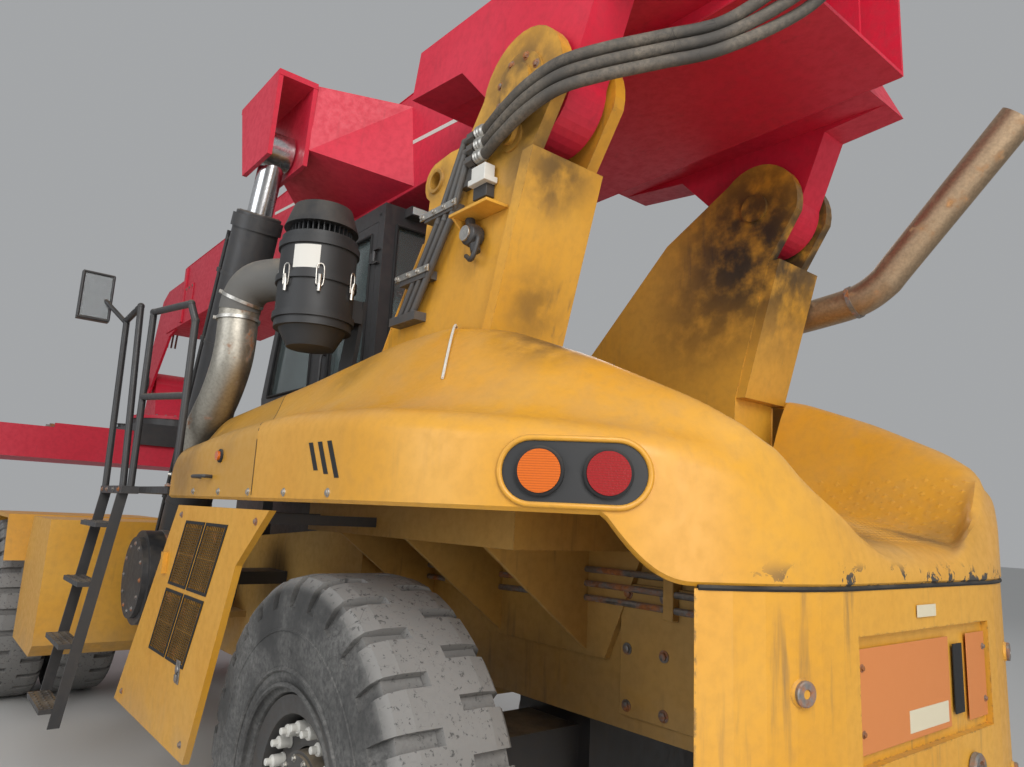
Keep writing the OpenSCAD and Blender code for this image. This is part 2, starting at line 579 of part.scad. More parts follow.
// Wheels
module tyre_rear_left() color(black) rear() tyre(rear_tyre_y);
module tyre_rear_right() color(black) rear() tyre(-rear_tyre_y);
module rim_rear_left() color(yellow) rear() rim(1);
module rim_rear_right() color(yellow) rear() rim(-1);
module twin_tyres(side) color(black) rear() translate([wheelbase, 0, 0]) {
  tyre(side * front_tyre_y);
  tyre(side * (front_tyre_y + twin_pitch));
}
module twin_rims(side) color(yellow) rear() translate([wheelbase, 0, 0]) on_side(side) {
  bore = front_hub_r + pin_gap;
  hub = front_hub_r + 60;
  rotate_extrude($fn = 72) {
    translate([0, front_tyre_y]) rim_half_section(bore, hub, 60, 60);
    translate([0, front_tyre_y + twin_pitch]) rim_half_section(bore, hub, -20, 60);
    translate([bore, front_tyre_y]) square([hub - bore - 20, twin_pitch - 100]);
  }
  translate([0, 0, front_tyre_y + twin_pitch]) rim_nuts(hub, -20);
}
module tyres_front_left() twin_tyres(1);
module tyres_front_right() twin_tyres(-1);
module rims_front_left() twin_rims(1);
module rims_front_right() twin_rims(-1);

// Tail lamp pods and side marker lamps
module on_corner(x, z) translate([x, plan_half(x, 0), z])
  rotate([0, 0, 90 + asin(max(0, corner_c[0] - x) / tail_r)]) rotate([0, 90, 0]) children();
module lamps() color("#c8501e") rear() pair() {
  for (x = [-1238, -1097]) on_corner(x, 2000) translate([0, 0, 0.3]) cylinder(r = 62, h = 20, $fn = 48);
  on_corner(860, 2085) translate([0, 0, 0.3]) cylinder(r = 22, h = 22, $fn = 32);
}

// Steel pipes and the valve box on the left tower's outer face
pipe_y = tower_out_y + 46;
pipe_end_x = -220;
function pipe_z(i) = 3512 - 56 * i;
module tower_pipes() color(black) rear() {
  for (i = [0 : 2]) run([[360 - 56 * i, pipe_y, 2752], [60 - 56 * i, pipe_y, 3180],
    [-120 - 10 * i, pipe_y, pipe_z(i)], [pipe_end_x, pipe_y, pipe_z(i)]], 16);
  for (i = [0 : 2]) translate([pipe_end_x + 12, pipe_y, pipe_z(i)]) rotate([0, 90, 0])
    cylinder(r = 26, h = 46, $fn = 6);
  for (p = [[110, 2930], [-80, 3200], [180, 2745]]) translate([p[0], tower_out_y + 0.3, p[1]])
    cube([230, 64, 40]);
  block([-200, tower_out_y + 0.3, 3300], [-90, pipe_y - 8, 3380]);
}

// Hoses from the ends of those pipes to the plate on the boom's tail, one row of points each
module boom_hoses() color("#4a4742") rear() for (i = [0 : 2]) {
  x = pipe_end_x - 0.3;
  z = pipe_z(i);
  y = 330 - 70 * i;
  swept([[x, pipe_y, z], [x - 60, pipe_y, z], [x - 190, pipe_y + 24, z + 20], [x - 360, pipe_y + 30, z + 60],
    [x - 520, pipe_y - 4, z + 100], [x - 660, pipe_y - 110, z + 140], [x - 800, pipe_y - 260, z + 190],
    [x - 960, pipe_y - 430, z + 250], [-1360, 560 - 70 * i, 3880 - 20 * i], [-1500, 450 - 70 * i, 4010],
    [-1560, 380 - 70 * i, 4130], [-1510, y + 10, 4225], [-1440, y, 4240], [-boom_tail - 20.3, y, 4240]], 24, 8);
}

// Side grille doors: slanted panels with four barred windows
grille_top = hood_low_z - 37;
grille_outline = [[2300, 720], [930, 720], [540, 1610], [230, grille_top], [1480, grille_top]];
module grille_sheet() {
  difference() {
    polygon(grille_outline);
    for (r = [0, 1], c = [0, 1]) grille_window(r, c) square([270, 300]);
  }
  for (r = [0, 1], c = [0, 1]) grille_window(r, c) {
    for (i = [1 : grille_bars]) translate([i * 270 / (grille_bars + 1) - 5, -1]) square([10, 302]);
    translate([-1, 145]) square([272, 10]);
  }
}
module grille_window(r, c) translate([880 + c * 320 + (1 - r) * 205, 1110 + r * 350])
  multmatrix([[1, -0.58, 0, 0], [0, 1, 0, 0], [0, 0, 1, 0]]) children();
module grille_door(side) color(yellow) rear() mirror([0, side > 0 ? 0 : 1, 0]) {
  translate([0, hood_half - 10, 0]) rotate([90, 0, 0]) linear_extrude(30) grille_sheet();
  block([1560, hood_half - 11, 1490], [1600, hood_half + 14, 1600]);
  difference() {
    for (x = hinge_places) {
      rod_x(16, x + 4, x + 60, door_pin_y, door_pin_z);
      block([x + 4, door_pin_y, door_pin_z - 14], [x + 60, hood_half - 39, door_pin_z + 14]);
    }
    rod_x(door_pin_r + pin_gap, 400, 1200, door_pin_y, door_pin_z);
  }
}
module grille_door_left() grille_door(1);
module grille_door_right() grille_door(-1);

// Cab: frame of posts with window openings, glass, door and inside
cab_side = [[cab_back, cab_low_z], [cab_front, cab_low_z], [cab_front + 120, 2700],
  [cab_front - 180, cab_top_z], [cab_back, cab_top_z]];
function shrink_cab(t) = [[cab_back + t, cab_low_z + t], [cab_front - t, cab_low_z + t],
  [cab_front + 120 - t, 2700], [cab_front - 180 - t, cab_top_z - t], [cab_back + t, cab_top_z - t]];
door_x0 = cab_back + cab_t + 20;
door_sill = 270;
door_z0 = cab_low_z + door_sill;
door_z1 = cab_top_z - 110;
cab_pin = [door_x0 - 2, cab_half + 16];
cab_pin_r = 6;
cab_hinge_z = [2500, 3400];
module cab_shell() color(black) rear() {
  cab_box();
  for (z = cab_hinge_z) {
    translate([cab_pin[0], cab_pin[1], z + 1]) cylinder(r = cab_pin_r, h = 98, $fn = 32);
    for (h = [z, z + 90]) {
      block([cab_pin[0] - 55, cab_half - 1, h], [cab_pin[0] - 5, cab_pin[1] + 8, h + 10]);
      block([cab_pin[0] - 6, cab_pin[1] - 8, h], [cab_pin[0] + 6, cab_pin[1] + 8, h + 10]);
    }
  }
}
module cab_box() difference() {
  plate_xz(cab_side, -cab_half, 2 * cab_half);
  plate_xz(shrink_cab(cab_t), -cab_half + cab_t, 2 * (cab_half - cab_t));
  block([door_x0 - 3, cab_half - cab_t - 10, door_z0 - 3],
    [door_x0 + door_w + 3, cab_half + 10, door_z1 + 3]);
  plate_xz([[2240, 2700], [cab_front - 10, 2700], [cab_front - 240, cab_top_z - 130], [2240, cab_top_z - 130]],
    cab_half - cab_t - 10, cab_t + 20);
  plate_xz([[cab_back + 120, 2700], [cab_front - 10, 2700], [cab_front - 240, cab_top_z - 130],
    [cab_back + 120, cab_top_z - 130]], -cab_half - 10, cab_t + 20);
  block([cab_front - 330, -cab_half + 90, 2720], [cab_front + 200, cab_half - 90, cab_top_z - 130]);
  block([cab_back - 10, -cab_half + 90, 2640], [cab_back + cab_t + 10, cab_half - 90, cab_top_z - 130]);
}
module cab_glass() color("#5c6a6e") rear() {
  g = 0.3;
  y = cab_half - 30;
  for (side = [-1, 1]) plate_xz([[side > 0 ? 2240 + g : cab_back + 120 + g, 2700 + g],
    [cab_front - 10 - 2 * g, 2700 + g], [cab_front - 240 - 2 * g, cab_top_z - 130 - g],
    [side > 0 ? 2240 + g : cab_back + 120 + g, cab_top_z - 130 - g]], side * y - glass_t / 2, glass_t);
  block([cab_back + 26, -cab_half + 90 + g, 2640 + g], [cab_back + 26 + glass_t, cab_half - 90 - g, cab_top_z - 130 - g]);
  k = 300 / (cab_top_z - 2700);
  plate_xz([[cab_front + 120 - 20 * k - 40, 2720 + g], [cab_front + 120 - 20 * k - 40 + glass_t, 2720 + g],
    [cab_front - 180 + 130 * k - 40 + glass_t, cab_top_z - 130 - g],
    [cab_front - 180 + 130 * k - 40, cab_top_z - 130 - g]], -cab_half + 90 + g, 2 * (cab_half - 90 - g));
}
module cab_door() color(black) rear() {
  difference() {
    block([door_x0, cab_half - cab_t, door_z0], [door_x0 + door_w, cab_half, door_z1]);
    block([door_x0 + 70, cab_half - cab_t - 1, 2660], [door_x0 + door_w - 70, cab_half + 1, door_z1 - 70]);
  }
  difference() {
    for (z = cab_hinge_z) {
      translate([cab_pin[0], cab_pin[1], z + 16]) cylinder(r = 2 * cab_pin_r, h = 68, $fn = 32);
      block([cab_pin[0], cab_half - 1, z + 16], [cab_pin[0] + 66, cab_pin[1] - 4, z + 84]);
    }
    translate([cab_pin[0], cab_pin[1], cab_hinge_z[0]]) cylinder(r = cab_pin_r + pin_gap, h = 1100, $fn = 32);
  }
  block([door_x0 + door_w - 60, cab_half - 1, 2560], [door_x0 + door_w - 30, cab_half + 26, 2600]);
}
module door_glass() color("#5c6a6e") rear()
  block([door_x0 + 70.3, cab_half - 34, 2660.3], [door_x0 + door_w - 70.3, cab_half - 34 + glass_t, door_z1 - 70.3]);
module cab_interior() color(dark) rear() {
  z = cab_low_z + cab_t + 0.3;
  block([1560, -280, z], [2080, 280, z + 420]);
  block([1480, -260, z + 420], [1620, 260, z + 1000]);
  block([1560, -470, z], [2150, -300, z + 640]);
  block([2680, -250, z], [2840, 250, z + 520]);
  translate([2640, 0, z + 640]) rotate([0, -60, 0]) difference() {
    cylinder(r = 190, h = 30, $fn = 48);
    translate([0, 0, -1]) cylinder(r = 160, h = 32, $fn = 48);
  }
  bar([2760, 0, z + 500], [2645, 0, z + 660], 30);
  bar([2640, -185, z + 655], [2640, 185, z + 655], 14);
}

// Outer boom: hollow box, lugs at the pivot, shoulder boxes and lift cylinder wings
module boom_box(w, low, high, bevel) polygon([[-w / 2, low], [w / 2, low], [w / 2, high - bevel],
  [w / 2 - bevel, high], [-w / 2 + bevel, high], [-w / 2, high - bevel]]);
module boom_outer() color(red) rear() {
  section_yz(-boom_tail, boom_tail + boom_front) difference() {
    boom_box(boom_w, boom_low_z, boom_top_z, 60);
    boom_box(boom_w - 2 * boom_t, boom_low_z + boom_t, boom_top_z - boom_t, 50);
  }
  pair() {
    difference() {
      plate_xz(concat(arc(pivot, 230, 180, 360, 20), [[140, boom_low_z + 60], [620, boom_low_z + 120],
        [560, boom_low_z + 380], [-1050, boom_low_z + 300], [-1150, boom_low_z + 60],
        [-820, boom_low_z + 40]]), tower_mid_y - lug_t / 2, lug_t);
      rod_y(pivot_pin_r + pin_gap, tower_in_y, tower_out_y, pivot[0], pivot[1]);
    }
    shoulder_box();
    lift_wing();
  }
  pair() for (z = [boom_low_z + boom_t - 1, inner_top_z + 0.3])
    block([boom_front - 200, 120, z], [boom_front - 20, inner_w / 2 - 20, z + boom_gap + 0.7]);
  block([-boom_tail - 20, 120, 4180], [-boom_tail + 1, boom_w / 2 - 2, 4300]);
}
module shoulder_box() {
  y0 = boom_w / 2 - 5;
  y1 = tower_mid_y - lug_t / 2 + 5;
  plate_xz([[-1150, boom_low_z + 60], [620, boom_low_z + 120], [560, boom_low_z + 380],
    [-1050, boom_low_z + 300]], y0, y1 - y0);
}
module lift_wing() {
  y0 = boom_w / 2 - 5;
  inner = lift_y - 130;
  polyhedron(points = [[1350, y0, boom_low_z + 20], [2900, y0, boom_low_z + 60], [3100, y0, boom_low_z + 620],
      [1450, y0, boom_low_z + 640], [1780, inner, eye_z - 40], [2300, inner, eye_z - 40],
      [2420, inner, eye_z + 420], [1760, inner, eye_z + 420]],
    faces = [[3, 2, 1, 0], [4, 5, 6, 7], [0, 1, 5], [0, 5, 4], [1, 2, 6], [1, 6, 5], [2, 3, 7], [2, 7, 6],
      [3, 0, 4], [3, 4, 7]]);
  for (y = [lift_y - 135, lift_y + 105]) plate_xz([[1800, eye_z - 150], [2260, eye_z - 150],
    [2440, eye_z + 420], [1740, eye_z + 420]], y, 30);
  plate_xz([[1740, eye_z + 385], [2440, eye_z + 385], [2440, eye_z + 425], [1740, eye_z + 425]],
    lift_y - 135, 270);
}

// Inner boom: hollow box, wear pads, nose plates and the spreader pin
module boom_inner() color(red) rear() {
  section_yz(-inner_tail, inner_tail + inner_front) difference() {
    boom_box(inner_w, inner_low_z, inner_top_z, 45);
    boom_box(inner_w - 2 * boom_t, inner_low_z + boom_t, inner_top_z - boom_t, 38);
  }
  pair() plate_xz(concat([[inner_front - 520, inner_low_z + 20], [inner_front - 120, inner_low_z - 60]],
    arc([nose_x, nose_z], 190, 200, 390, 16),
    [[inner_front + 420, inner_top_z - 120], [inner_front + 180, inner_top_z - 20],
    [inner_front - 520, inner_top_z - 20]]), inner_w / 2 - boom_t - 30, 32);
  block([inner_front - 1, -inner_w / 2 + 40, inner_low_z + 60], [inner_front + 60, inner_w / 2 - 40, inner_top_z - 60]);
  rod_y(75, -inner_w / 2 + 10, inner_w / 2 - 10, nose_x, nose_z);
  pair() for (z = [inner_low_z - boom_gap + 0.3, inner_top_z - 1])
    block([-inner_tail + 40, 120, z], [-inner_tail + 240, inner_w / 2 - 60, z + boom_gap + 0.7]);
}

// Lift cylinders, drawn upright from the foot pin and leaned into place
module lean(side) rear() translate([foot_x, side * lift_y, foot_z]) rotate([0, -lift_lean, 0]) children();
module lift_barrel(side) color(black) lean(side) difference() {
  union() {
    translate([0, 0, 130]) cylinder(r = barrel_r, h = barrel_len - 130, $fn = 64);
    translate([0, 0, barrel_len - 90]) cylinder(r = barrel_r + 14, h = 90, $fn = 64);
    translate([0, 85, 0]) rotate([90, 0, 0]) cylinder(r = 130, h = 170, $fn = 48);
    block([-110, -85, 0], [110, 85, 140]);
  }
  translate([0, 100, 0]) rotate([90, 0, 0]) cylinder(r = 70 + pin_gap, h = 200, $fn = 48);
  translate([0, 0, 300]) cylinder(r = lift_rod_r + pin_gap, h = barrel_len, $fn = 48);
}
module lift_rod(side) color(grey) lean(side) {
  translate([0, 0, 330]) cylinder(r = lift_rod_r, h = lift_len - 420, $fn = 48);
  translate([0, 92, lift_len]) rotate([90, 0, 0]) cylinder(r = 125, h = 184, $fn = 48);
}
module lift_barrel_left() lift_barrel(1);
module lift_barrel_right() lift_barrel(-1);
module lift_rod_left() lift_rod(1);
module lift_rod_right() lift_rod(-1);

// Spreader head: hangs from the nose pin and carries the slewing ring
module spreader_head() color(red) rear() translate([nose_x, 0, 0]) {
  difference() {
    union() {
      rod_y(170, -330, 330, 0, nose_z);
      plate_xz([[-170, nose_z], [-330, 2990], [330, 2990], [170, nose_z]], -330, 660);
    }
    rod_y(75 + pin_gap, -400, 400, 0, nose_z);
  }
  translate([0, 0, 2950]) cylinder(r = ring_r, h = 42, $fn = 72);
}
module rotator() color(black) rear() translate([nose_x, 0, 0]) {
  translate([0, 0, 2840]) cylinder(r = ring_r - 20, h = 109.7, $fn = 72);
  block([-720, -620, 2740], [720, 620, 2841]);
  for (s = [-1, 1]) block([s > 0 ? 700 : -760, -620, spreader_top_z - 120],
    [s > 0 ? 760 : -700, 620, 2800]);
}
slot_x = [-540, -210, 210, 540];
beam_w = 200;
module spreader_frame() color(red) rear() translate([nose_x, 0, 0]) {
  translate([0, spreader_half, 0]) rotate([90, 0, 0]) linear_extrude(2 * spreader_half) difference() {
    translate([-690, spreader_top_z - spreader_h]) square([1380, spreader_h]);
    for (x = slot_x) translate([x - beam_w / 2 - 15, spreader_top_z - spreader_h + 30])
      square([beam_w + 30, spreader_h - 60]);
  }
  for (x = [-600, 560]) block([x, -1500, spreader_top_z - 1], [x + 40, 1500, 2739.7]);
}
module spreader_arm(side) color(red) rear() translate([nose_x, 0, 0]) {
  low = spreader_top_z - spreader_h + 30.3;
  end = spreader_len / 2;
  for (x = side > 0 ? [slot_x[1], slot_x[3]] : [slot_x[0], slot_x[2]])
    block([x - beam_w / 2, side > 0 ? -1900 : -end + 60, low],
      [x + beam_w / 2, side > 0 ? end - 60 : 1900, spreader_top_z - 30.3]);
  difference() {
    plate_xz([[-spreader_w / 2, 1920], [spreader_w / 2, 1920], [spreader_w / 2, 2180],
      [760, spreader_top_z], [-760, spreader_top_z], [-spreader_w / 2, 2180]],
      side > 0 ? end - 180 : -end, 180);
    plate_xz([[-560, 1900], [560, 1900], [430, 2180], [-430, 2180]], side > 0 ? end - 200 : -end - 20, 220);
  }
  for (s = [-1, 1]) translate([s * (spreader_w / 2 - 90), side * (end - 90), twistlock_z]) {
    cylinder(r = 34, h = 130, $fn = 32);
    translate([-34, -50, 0]) cube([68, 100, 60]);
  }
}
module spreader_arm_left() spreader_arm(1);
module spreader_arm_right() spreader_arm(-1);

chassis_frame();
tower_left();
tower_right();
counterweight();
rear_hood();
power_train();
side_tanks();
round_tank();
front_fenders();
access_steps();
deck_plates();
air_cleaner();
intake_pipe();
exhaust_pipe();
front_axle();
rear_axle();
lamps();
tower_pipes();
boom_hoses();
grille_door_left();
grille_door_right();
cab_shell();
cab_glass();
cab_door();
door_glass();
cab_interior();
boom_outer();
boom_inner();
lift_barrel_left();
lift_barrel_right();
lift_rod_left();
lift_rod_right();
spreader_head();
rotator();
spreader_frame();
spreader_arm_left();
spreader_arm_right();
knuckle_left();
knuckle_right();
tyre_rear_left();
tyre_rear_right();
rim_rear_left();
rim_rear_right();
tyres_front_left();
tyres_front_right();
rims_front_left();
rims_front_right();
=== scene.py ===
"""Looks of a container reach stacker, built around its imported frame.

Places are in metres in the frame's own axes: X forward, Y to the left, Z up, with the
origin on the ground under the middle. Sizes that belong to one sub-assembly are fields
of its class. Places written from the rear axle are moved by REAR_AXLE_X.
"""

import logging
import math
from dataclasses import dataclass
from enum import Enum
from typing import Callable, Optional, Sequence, Union

import bpy
import numpy as np
from mathutils import Matrix, Vector


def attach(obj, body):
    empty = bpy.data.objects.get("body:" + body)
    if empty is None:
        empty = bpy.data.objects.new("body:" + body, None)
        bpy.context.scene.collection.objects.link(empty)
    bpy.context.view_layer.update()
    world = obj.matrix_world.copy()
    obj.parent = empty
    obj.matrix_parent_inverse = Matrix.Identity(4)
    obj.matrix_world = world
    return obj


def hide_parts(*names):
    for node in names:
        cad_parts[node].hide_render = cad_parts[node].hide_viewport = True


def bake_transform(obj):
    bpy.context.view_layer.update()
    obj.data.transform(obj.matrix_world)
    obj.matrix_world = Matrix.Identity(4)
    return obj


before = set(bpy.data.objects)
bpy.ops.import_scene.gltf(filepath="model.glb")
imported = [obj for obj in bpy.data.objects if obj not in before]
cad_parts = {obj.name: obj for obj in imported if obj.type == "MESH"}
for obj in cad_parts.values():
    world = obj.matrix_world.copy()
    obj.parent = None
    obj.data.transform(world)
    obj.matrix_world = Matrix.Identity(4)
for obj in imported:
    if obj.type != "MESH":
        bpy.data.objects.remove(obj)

LOG = logging.getLogger("reach_stacker")
REAR_AXLE_X = -3.992
WHEELBASE = 6.0
LEFT, RIGHT, UP, REARWARD = (0, 1, 0), (0, -1, 0), (0, 0, 1), (-1, 0, 0)
CLEAR = 0.0003  # what lies on a CAD face stays this far off it
BOX_FACES = ((3, 2, 1, 0), (4, 5, 6, 7), (0, 1, 5, 4), (1, 2, 6, 5), (2, 3, 7, 6), (3, 0, 4, 7))
PYRAMID_FACES = ((0, 1, 4), (1, 2, 4), (2, 3, 4), (3, 0, 4))
Array = np.ndarray
Point = Sequence[float]
Colour = tuple[float, float, float]
Socket = bpy.types.NodeSocket
Value = Union[Socket, float, Point]


class Body(str, Enum):
    """The CAD bodies that new pieces ride on, with {} where left or right belongs."""

    ROOT = "root"
    BOOM = "boom_outer"
    INNER = "boom_inner"
    DOOR = "cab_door"
    GRILLE = "grille_door_{}"
    HEAD = "spreader_head"
    ROTATOR = "rotator"
    SPREADER = "spreader_frame"
    ARM = "spreader_arm_{}"
    KNUCKLE = "knuckle_{}"
    REAR = "wheel_rear_{}"
    FRONT = "wheels_front_{}"
    BARREL = "lift_barrel_{}"


def rel(x: float, y: float, z: float) -> Array:
    """A point given from the rear axle, as a point of the frame."""
    return np.array([x + REAR_AXLE_X, y, z])


def around(count: int, radius: float, start: float = 0.0) -> list[Point]:
    """Pairs of offsets spread evenly round a circle, the first at an angle in degrees."""
    turn = np.radians(start + 360.0 / count * np.arange(count))
    return list(zip(radius * np.cos(turn), radius * np.sin(turn)))


class Graph:
    """A small writer of shader node trees."""

    def __init__(self, name: str) -> None:
        """Starts a material of that name with a Principled shader."""
        self.material = bpy.data.materials.new(name)
        self.material.use_nodes = True
        self.nodes = self.material.node_tree.nodes
        self.shader = self.nodes["Principled BSDF"]
        coords = self.nodes.new("ShaderNodeTexCoord")
        self.object, self.normal = coords.outputs["Object"], coords.outputs["Normal"]

    def feed(self, socket: Socket, value: Value) -> None:
        """Links a socket to another one, or sets its number, vector or colour."""
        if isinstance(value, bpy.types.NodeSocket):
            self.material.node_tree.links.new(value, socket)
        elif isinstance(value, (int, float)):
            socket.default_value = float(value)
        else:
            numbers = tuple(value)
            socket.default_value = (*numbers, 1.0) if len(socket.default_value) > len(numbers) else numbers

    def node(self, kind: str, out: Union[str, int], inputs: dict, **options: object) -> Socket:
        """Adds one node.

        Args:
            kind: its type, less the word ShaderNode.
            out: name or number of the output that is wanted.
            inputs: what goes into which input.
            options: the node's settings, set before its inputs.

        Returns:
            The output socket.
        """
        node = self.nodes.new("ShaderNode" + kind)
        for key, option in options.items():
            setattr(node, key, option)
        for key, value in inputs.items():
            self.feed(node.inputs[key], value)
        return node.outputs[out]

    def shade(self, inputs: dict[str, Value]) -> None:
        """Feeds the shader's own inputs."""
        for key, value in inputs.items():
            self.feed(self.shader.inputs[key], value)

    def noise(self, size: float, detail: float = 4.0, rough: float = 0.55, warp: float = 0.0,
              stretch: Optional[Point] = None) -> Socket:
        """Noise around 0.5.

        Args:
            size: how many metres a blotch is across.
            detail: octaves.
            rough: how strong the fine octaves are.
            warp: distortion.
            stretch: factors on the coordinates along X, Y and Z.

        Returns:
            The value.
        """
        where = self.object
        if stretch:
            where = self.node("Mapping", "Vector", {"Scale": stretch, "Vector": where})
        return self.node("TexNoise", "Fac", {"Scale": 1.0 / size, "Detail": detail, "Roughness": rough,
                                             "Distortion": warp, "Vector": where})

    def cells(self, size: float, edge: bool = False) -> Socket:
        """Distance to the middle, or to the edge, of cells about size metres across."""
        return self.node("TexVoronoi", "Distance", {"Scale": 1.0 / size, "Vector": self.object},
                         feature="DISTANCE_TO_EDGE" if edge else "F1")

    def span(self, value: Value, low: float, high: float, end: float = 1.0) -> Socket:
        """Maps low to high onto 0 to end, smoothly and clamped."""
        return self.node("MapRange", "Result", {"From Min": low, "From Max": high, "To Min": 0.0, "To Max": end,
                                                "Value": value}, interpolation_type="SMOOTHSTEP")

    def speckle(self, size: float, detail: float, rough: float, low: float, high: float,
                warp: float = 0.0) -> Socket:
        """Noise, mapped from low to high onto 0 to 1."""
        return self.span(self.noise(size, detail, rough, warp), low, high)

    def math(self, how: str, a: Value, b: Value = 0.0, clamp: bool = False) -> Socket:
        """One Math node, such as SUBTRACT or MAXIMUM."""
        return self.node("Math", "Value", {0: a, 1: b}, operation=how, use_clamp=clamp)

    def times(self, first: Value, *others: Value) -> Socket:
        """A product."""
        for other in others:
            first = self.math("MULTIPLY", first, other)
        return first

    def rougher(self, base: float, value: Socket, share: float, clamp: bool = False) -> Socket:
        """A share of a value on top of a base."""
        return self.math("ADD", self.times(value, share), base, clamp)

    def mix(self, share: Value, a: Value, b: Value) -> Socket:
        """A colour between a and b."""
        return self.node("Mix", "Result", {"Factor": share, "A": a, "B": b}, data_type="RGBA")

    def axis(self, which: int) -> Socket:
        """One component of the Object coordinates."""
        return self.node("SeparateXYZ", which, {0: self.object})

    def facing_up(self, low: float, high: float = 0.95) -> Socket:
        """1 where the surface looks up, from 0 where its normal's Z is low."""
        return self.span(self.node("SeparateXYZ", 2, {0: self.normal}), low, high)

    def edges(self, radius: float) -> Socket:
        """1 on sharp edges and 0 on flats, by the cosine between true and bevelled normal."""
        round_normal = self.node("Bevel", "Normal", {"Radius": radius}, samples=4)
        cosine = self.node("VectorMath", "Value", {0: round_normal, 1: self.node("NewGeometry", "Normal", {})},
                           operation="DOT_PRODUCT")
        return self.span(cosine, 0.985, 0.80)

    def near(self, point: Point, reach: float) -> Socket:
        """1 at a point of the frame, falling to 0 at reach metres."""
        away = self.node("VectorMath", "Value", {0: self.object, 1: point}, operation="DISTANCE")
        return self.span(away, reach, reach * 0.15)

    def bump(self, height: Socket, strength: float, distance: float) -> None:
        """Adds a bump, on top of any that is there."""
        inputs = {"Strength": strength, "Distance": distance, "Height": height}
        before = self.shader.inputs["Normal"]
        if before.is_linked:
            inputs["Normal"] = before.links[0].from_socket
        self.feed(before, self.node("Bump", "Normal", inputs))


def dim(colour: Colour, share: float) -> Colour:
    """A colour times a number, no part of it over 1."""
    return tuple(min(1.0, c * share) for c in colour)


@dataclass(frozen=True)
class Recipe:
    """What every finish has: the material's name and its main colour."""

    name: str
    colour: Colour


@dataclass(frozen=True)
class Paint(Recipe):
    """Paint on steel or fibreglass with dust, streaks, chips and soot.

    Each soot spot is its place from the rear axle, its reach and its strength. A panel is
    where its joint starts, half the hood's width and the joint's slant.
    """

    faded: Colour
    roughness: float = 0.42
    coat: float = 0.12
    dust: float = 0.35
    dust_colour: Colour = (0.33, 0.26, 0.17)
    soot_colour: Colour = (0.018, 0.016, 0.014)
    streaks: float = 0.3
    streak_colour: Colour = (0.22, 0.13, 0.05)
    chips: float = 0.35
    chip_colour: Colour = (0.05, 0.045, 0.04)
    edge: float = 0.006
    mud_top: float = 0.0
    soot: tuple[tuple[Point, float, float], ...] = ()
    ripple: float = 0.05
    panel: Optional[tuple[float, float, float]] = None
    lip_z: float = 0.0

    def material(self) -> bpy.types.Material:
        """Builds the material: faded paint, streaks, dust and mud, soot, and chipped edges."""
        g = Graph(self.name)
        broad, fine = g.noise(0.9, 3, 0.5), g.noise(0.045, 6, 0.62)
        colour = g.mix(g.span(broad, 0.35, 0.7), self.colour, self.faded)
        colour = g.mix(g.times(g.span(fine, 0.35, 0.75), 0.16), colour, self.streak_colour)
        if self.panel:
            colour = g.mix(self.front_panel(g), colour, dim(self.faded, 0.72))
        runs = g.span(g.noise(0.05, 4, 0.6, 0.3, (1.0, 1.0, 0.09)), 0.52, 0.78)
        runs = g.times(runs, g.speckle(0.5, 3, 0.55, 0.42, 0.68), self.streaks)
        colour = g.mix(runs, colour, self.streak_colour)
        settled = g.times(g.facing_up(0.25), g.speckle(0.22, 5, 0.6, 0.3, 0.7))
        dusty = g.math("MULTIPLY", settled, self.dust, True)
        if self.mud_top:
            mud = g.times(g.span(g.axis(2), self.mud_top, self.mud_top * 0.25),
                          g.speckle(0.16, 6, 0.65, 0.28, 0.62), 0.75)
            dusty = g.math("MAXIMUM", dusty, mud)
        colour = g.mix(dusty, colour, self.dust_colour)
        for point, reach, strength in self.soot:
            cloud = g.times(g.near(rel(*point), reach), g.speckle(0.12, 5, 0.55, 0.2, 0.6), strength)
            colour = g.mix(cloud, colour, self.soot_colour)
        worn = g.times(g.edges(self.edge), g.speckle(0.035, 5, 0.7, 0.45, 0.62))
        spots = g.times(g.speckle(0.085, 6, 0.72, 0.715, 0.735), 0.7)
        chipped = g.math("MULTIPLY", g.math("MAXIMUM", worn, spots), self.chips, True)
        if self.lip_z:
            band = g.span(g.axis(2), self.lip_z + 0.085, self.lip_z + 0.03)
            flakes = g.speckle(0.10, 5, 0.65, 0.53, 0.55, 0.6)
            chipped = g.math("MAXIMUM", chipped, g.times(band, g.span(g.axis(1), 1.1, 0.7), flakes))
        rough = g.rougher(self.roughness, g.span(fine, 0.3, 0.8), 0.22)
        rough = g.math("ADD", rough, g.times(g.math("MAXIMUM", dusty, chipped), 0.35), True)
        g.shade({"Base Color": g.mix(chipped, colour, self.chip_colour), "Roughness": rough,
                 "Coat Weight": self.coat, "Coat Roughness": 0.25})
        g.bump(g.noise(0.012, 4, 0.6), 0.18, 0.0006)
        g.bump(broad, self.ripple, 0.02)
        g.bump(chipped, -0.35, 0.0008)
        return g.material

    def front_panel(self, g: Graph) -> Socket:
        """A mask ahead of a joint that starts square on the wall and then slants forward."""
        start, half, slant = self.panel
        inward = g.times(g.math("SUBTRACT", half, g.math("ABSOLUTE", g.axis(1))), slant)
        ahead = g.math("SUBTRACT", g.axis(0), g.math("ADD", inward, start + REAR_AXLE_X))
        return g.times(g.span(ahead, -0.003, 0.003), 0.8)


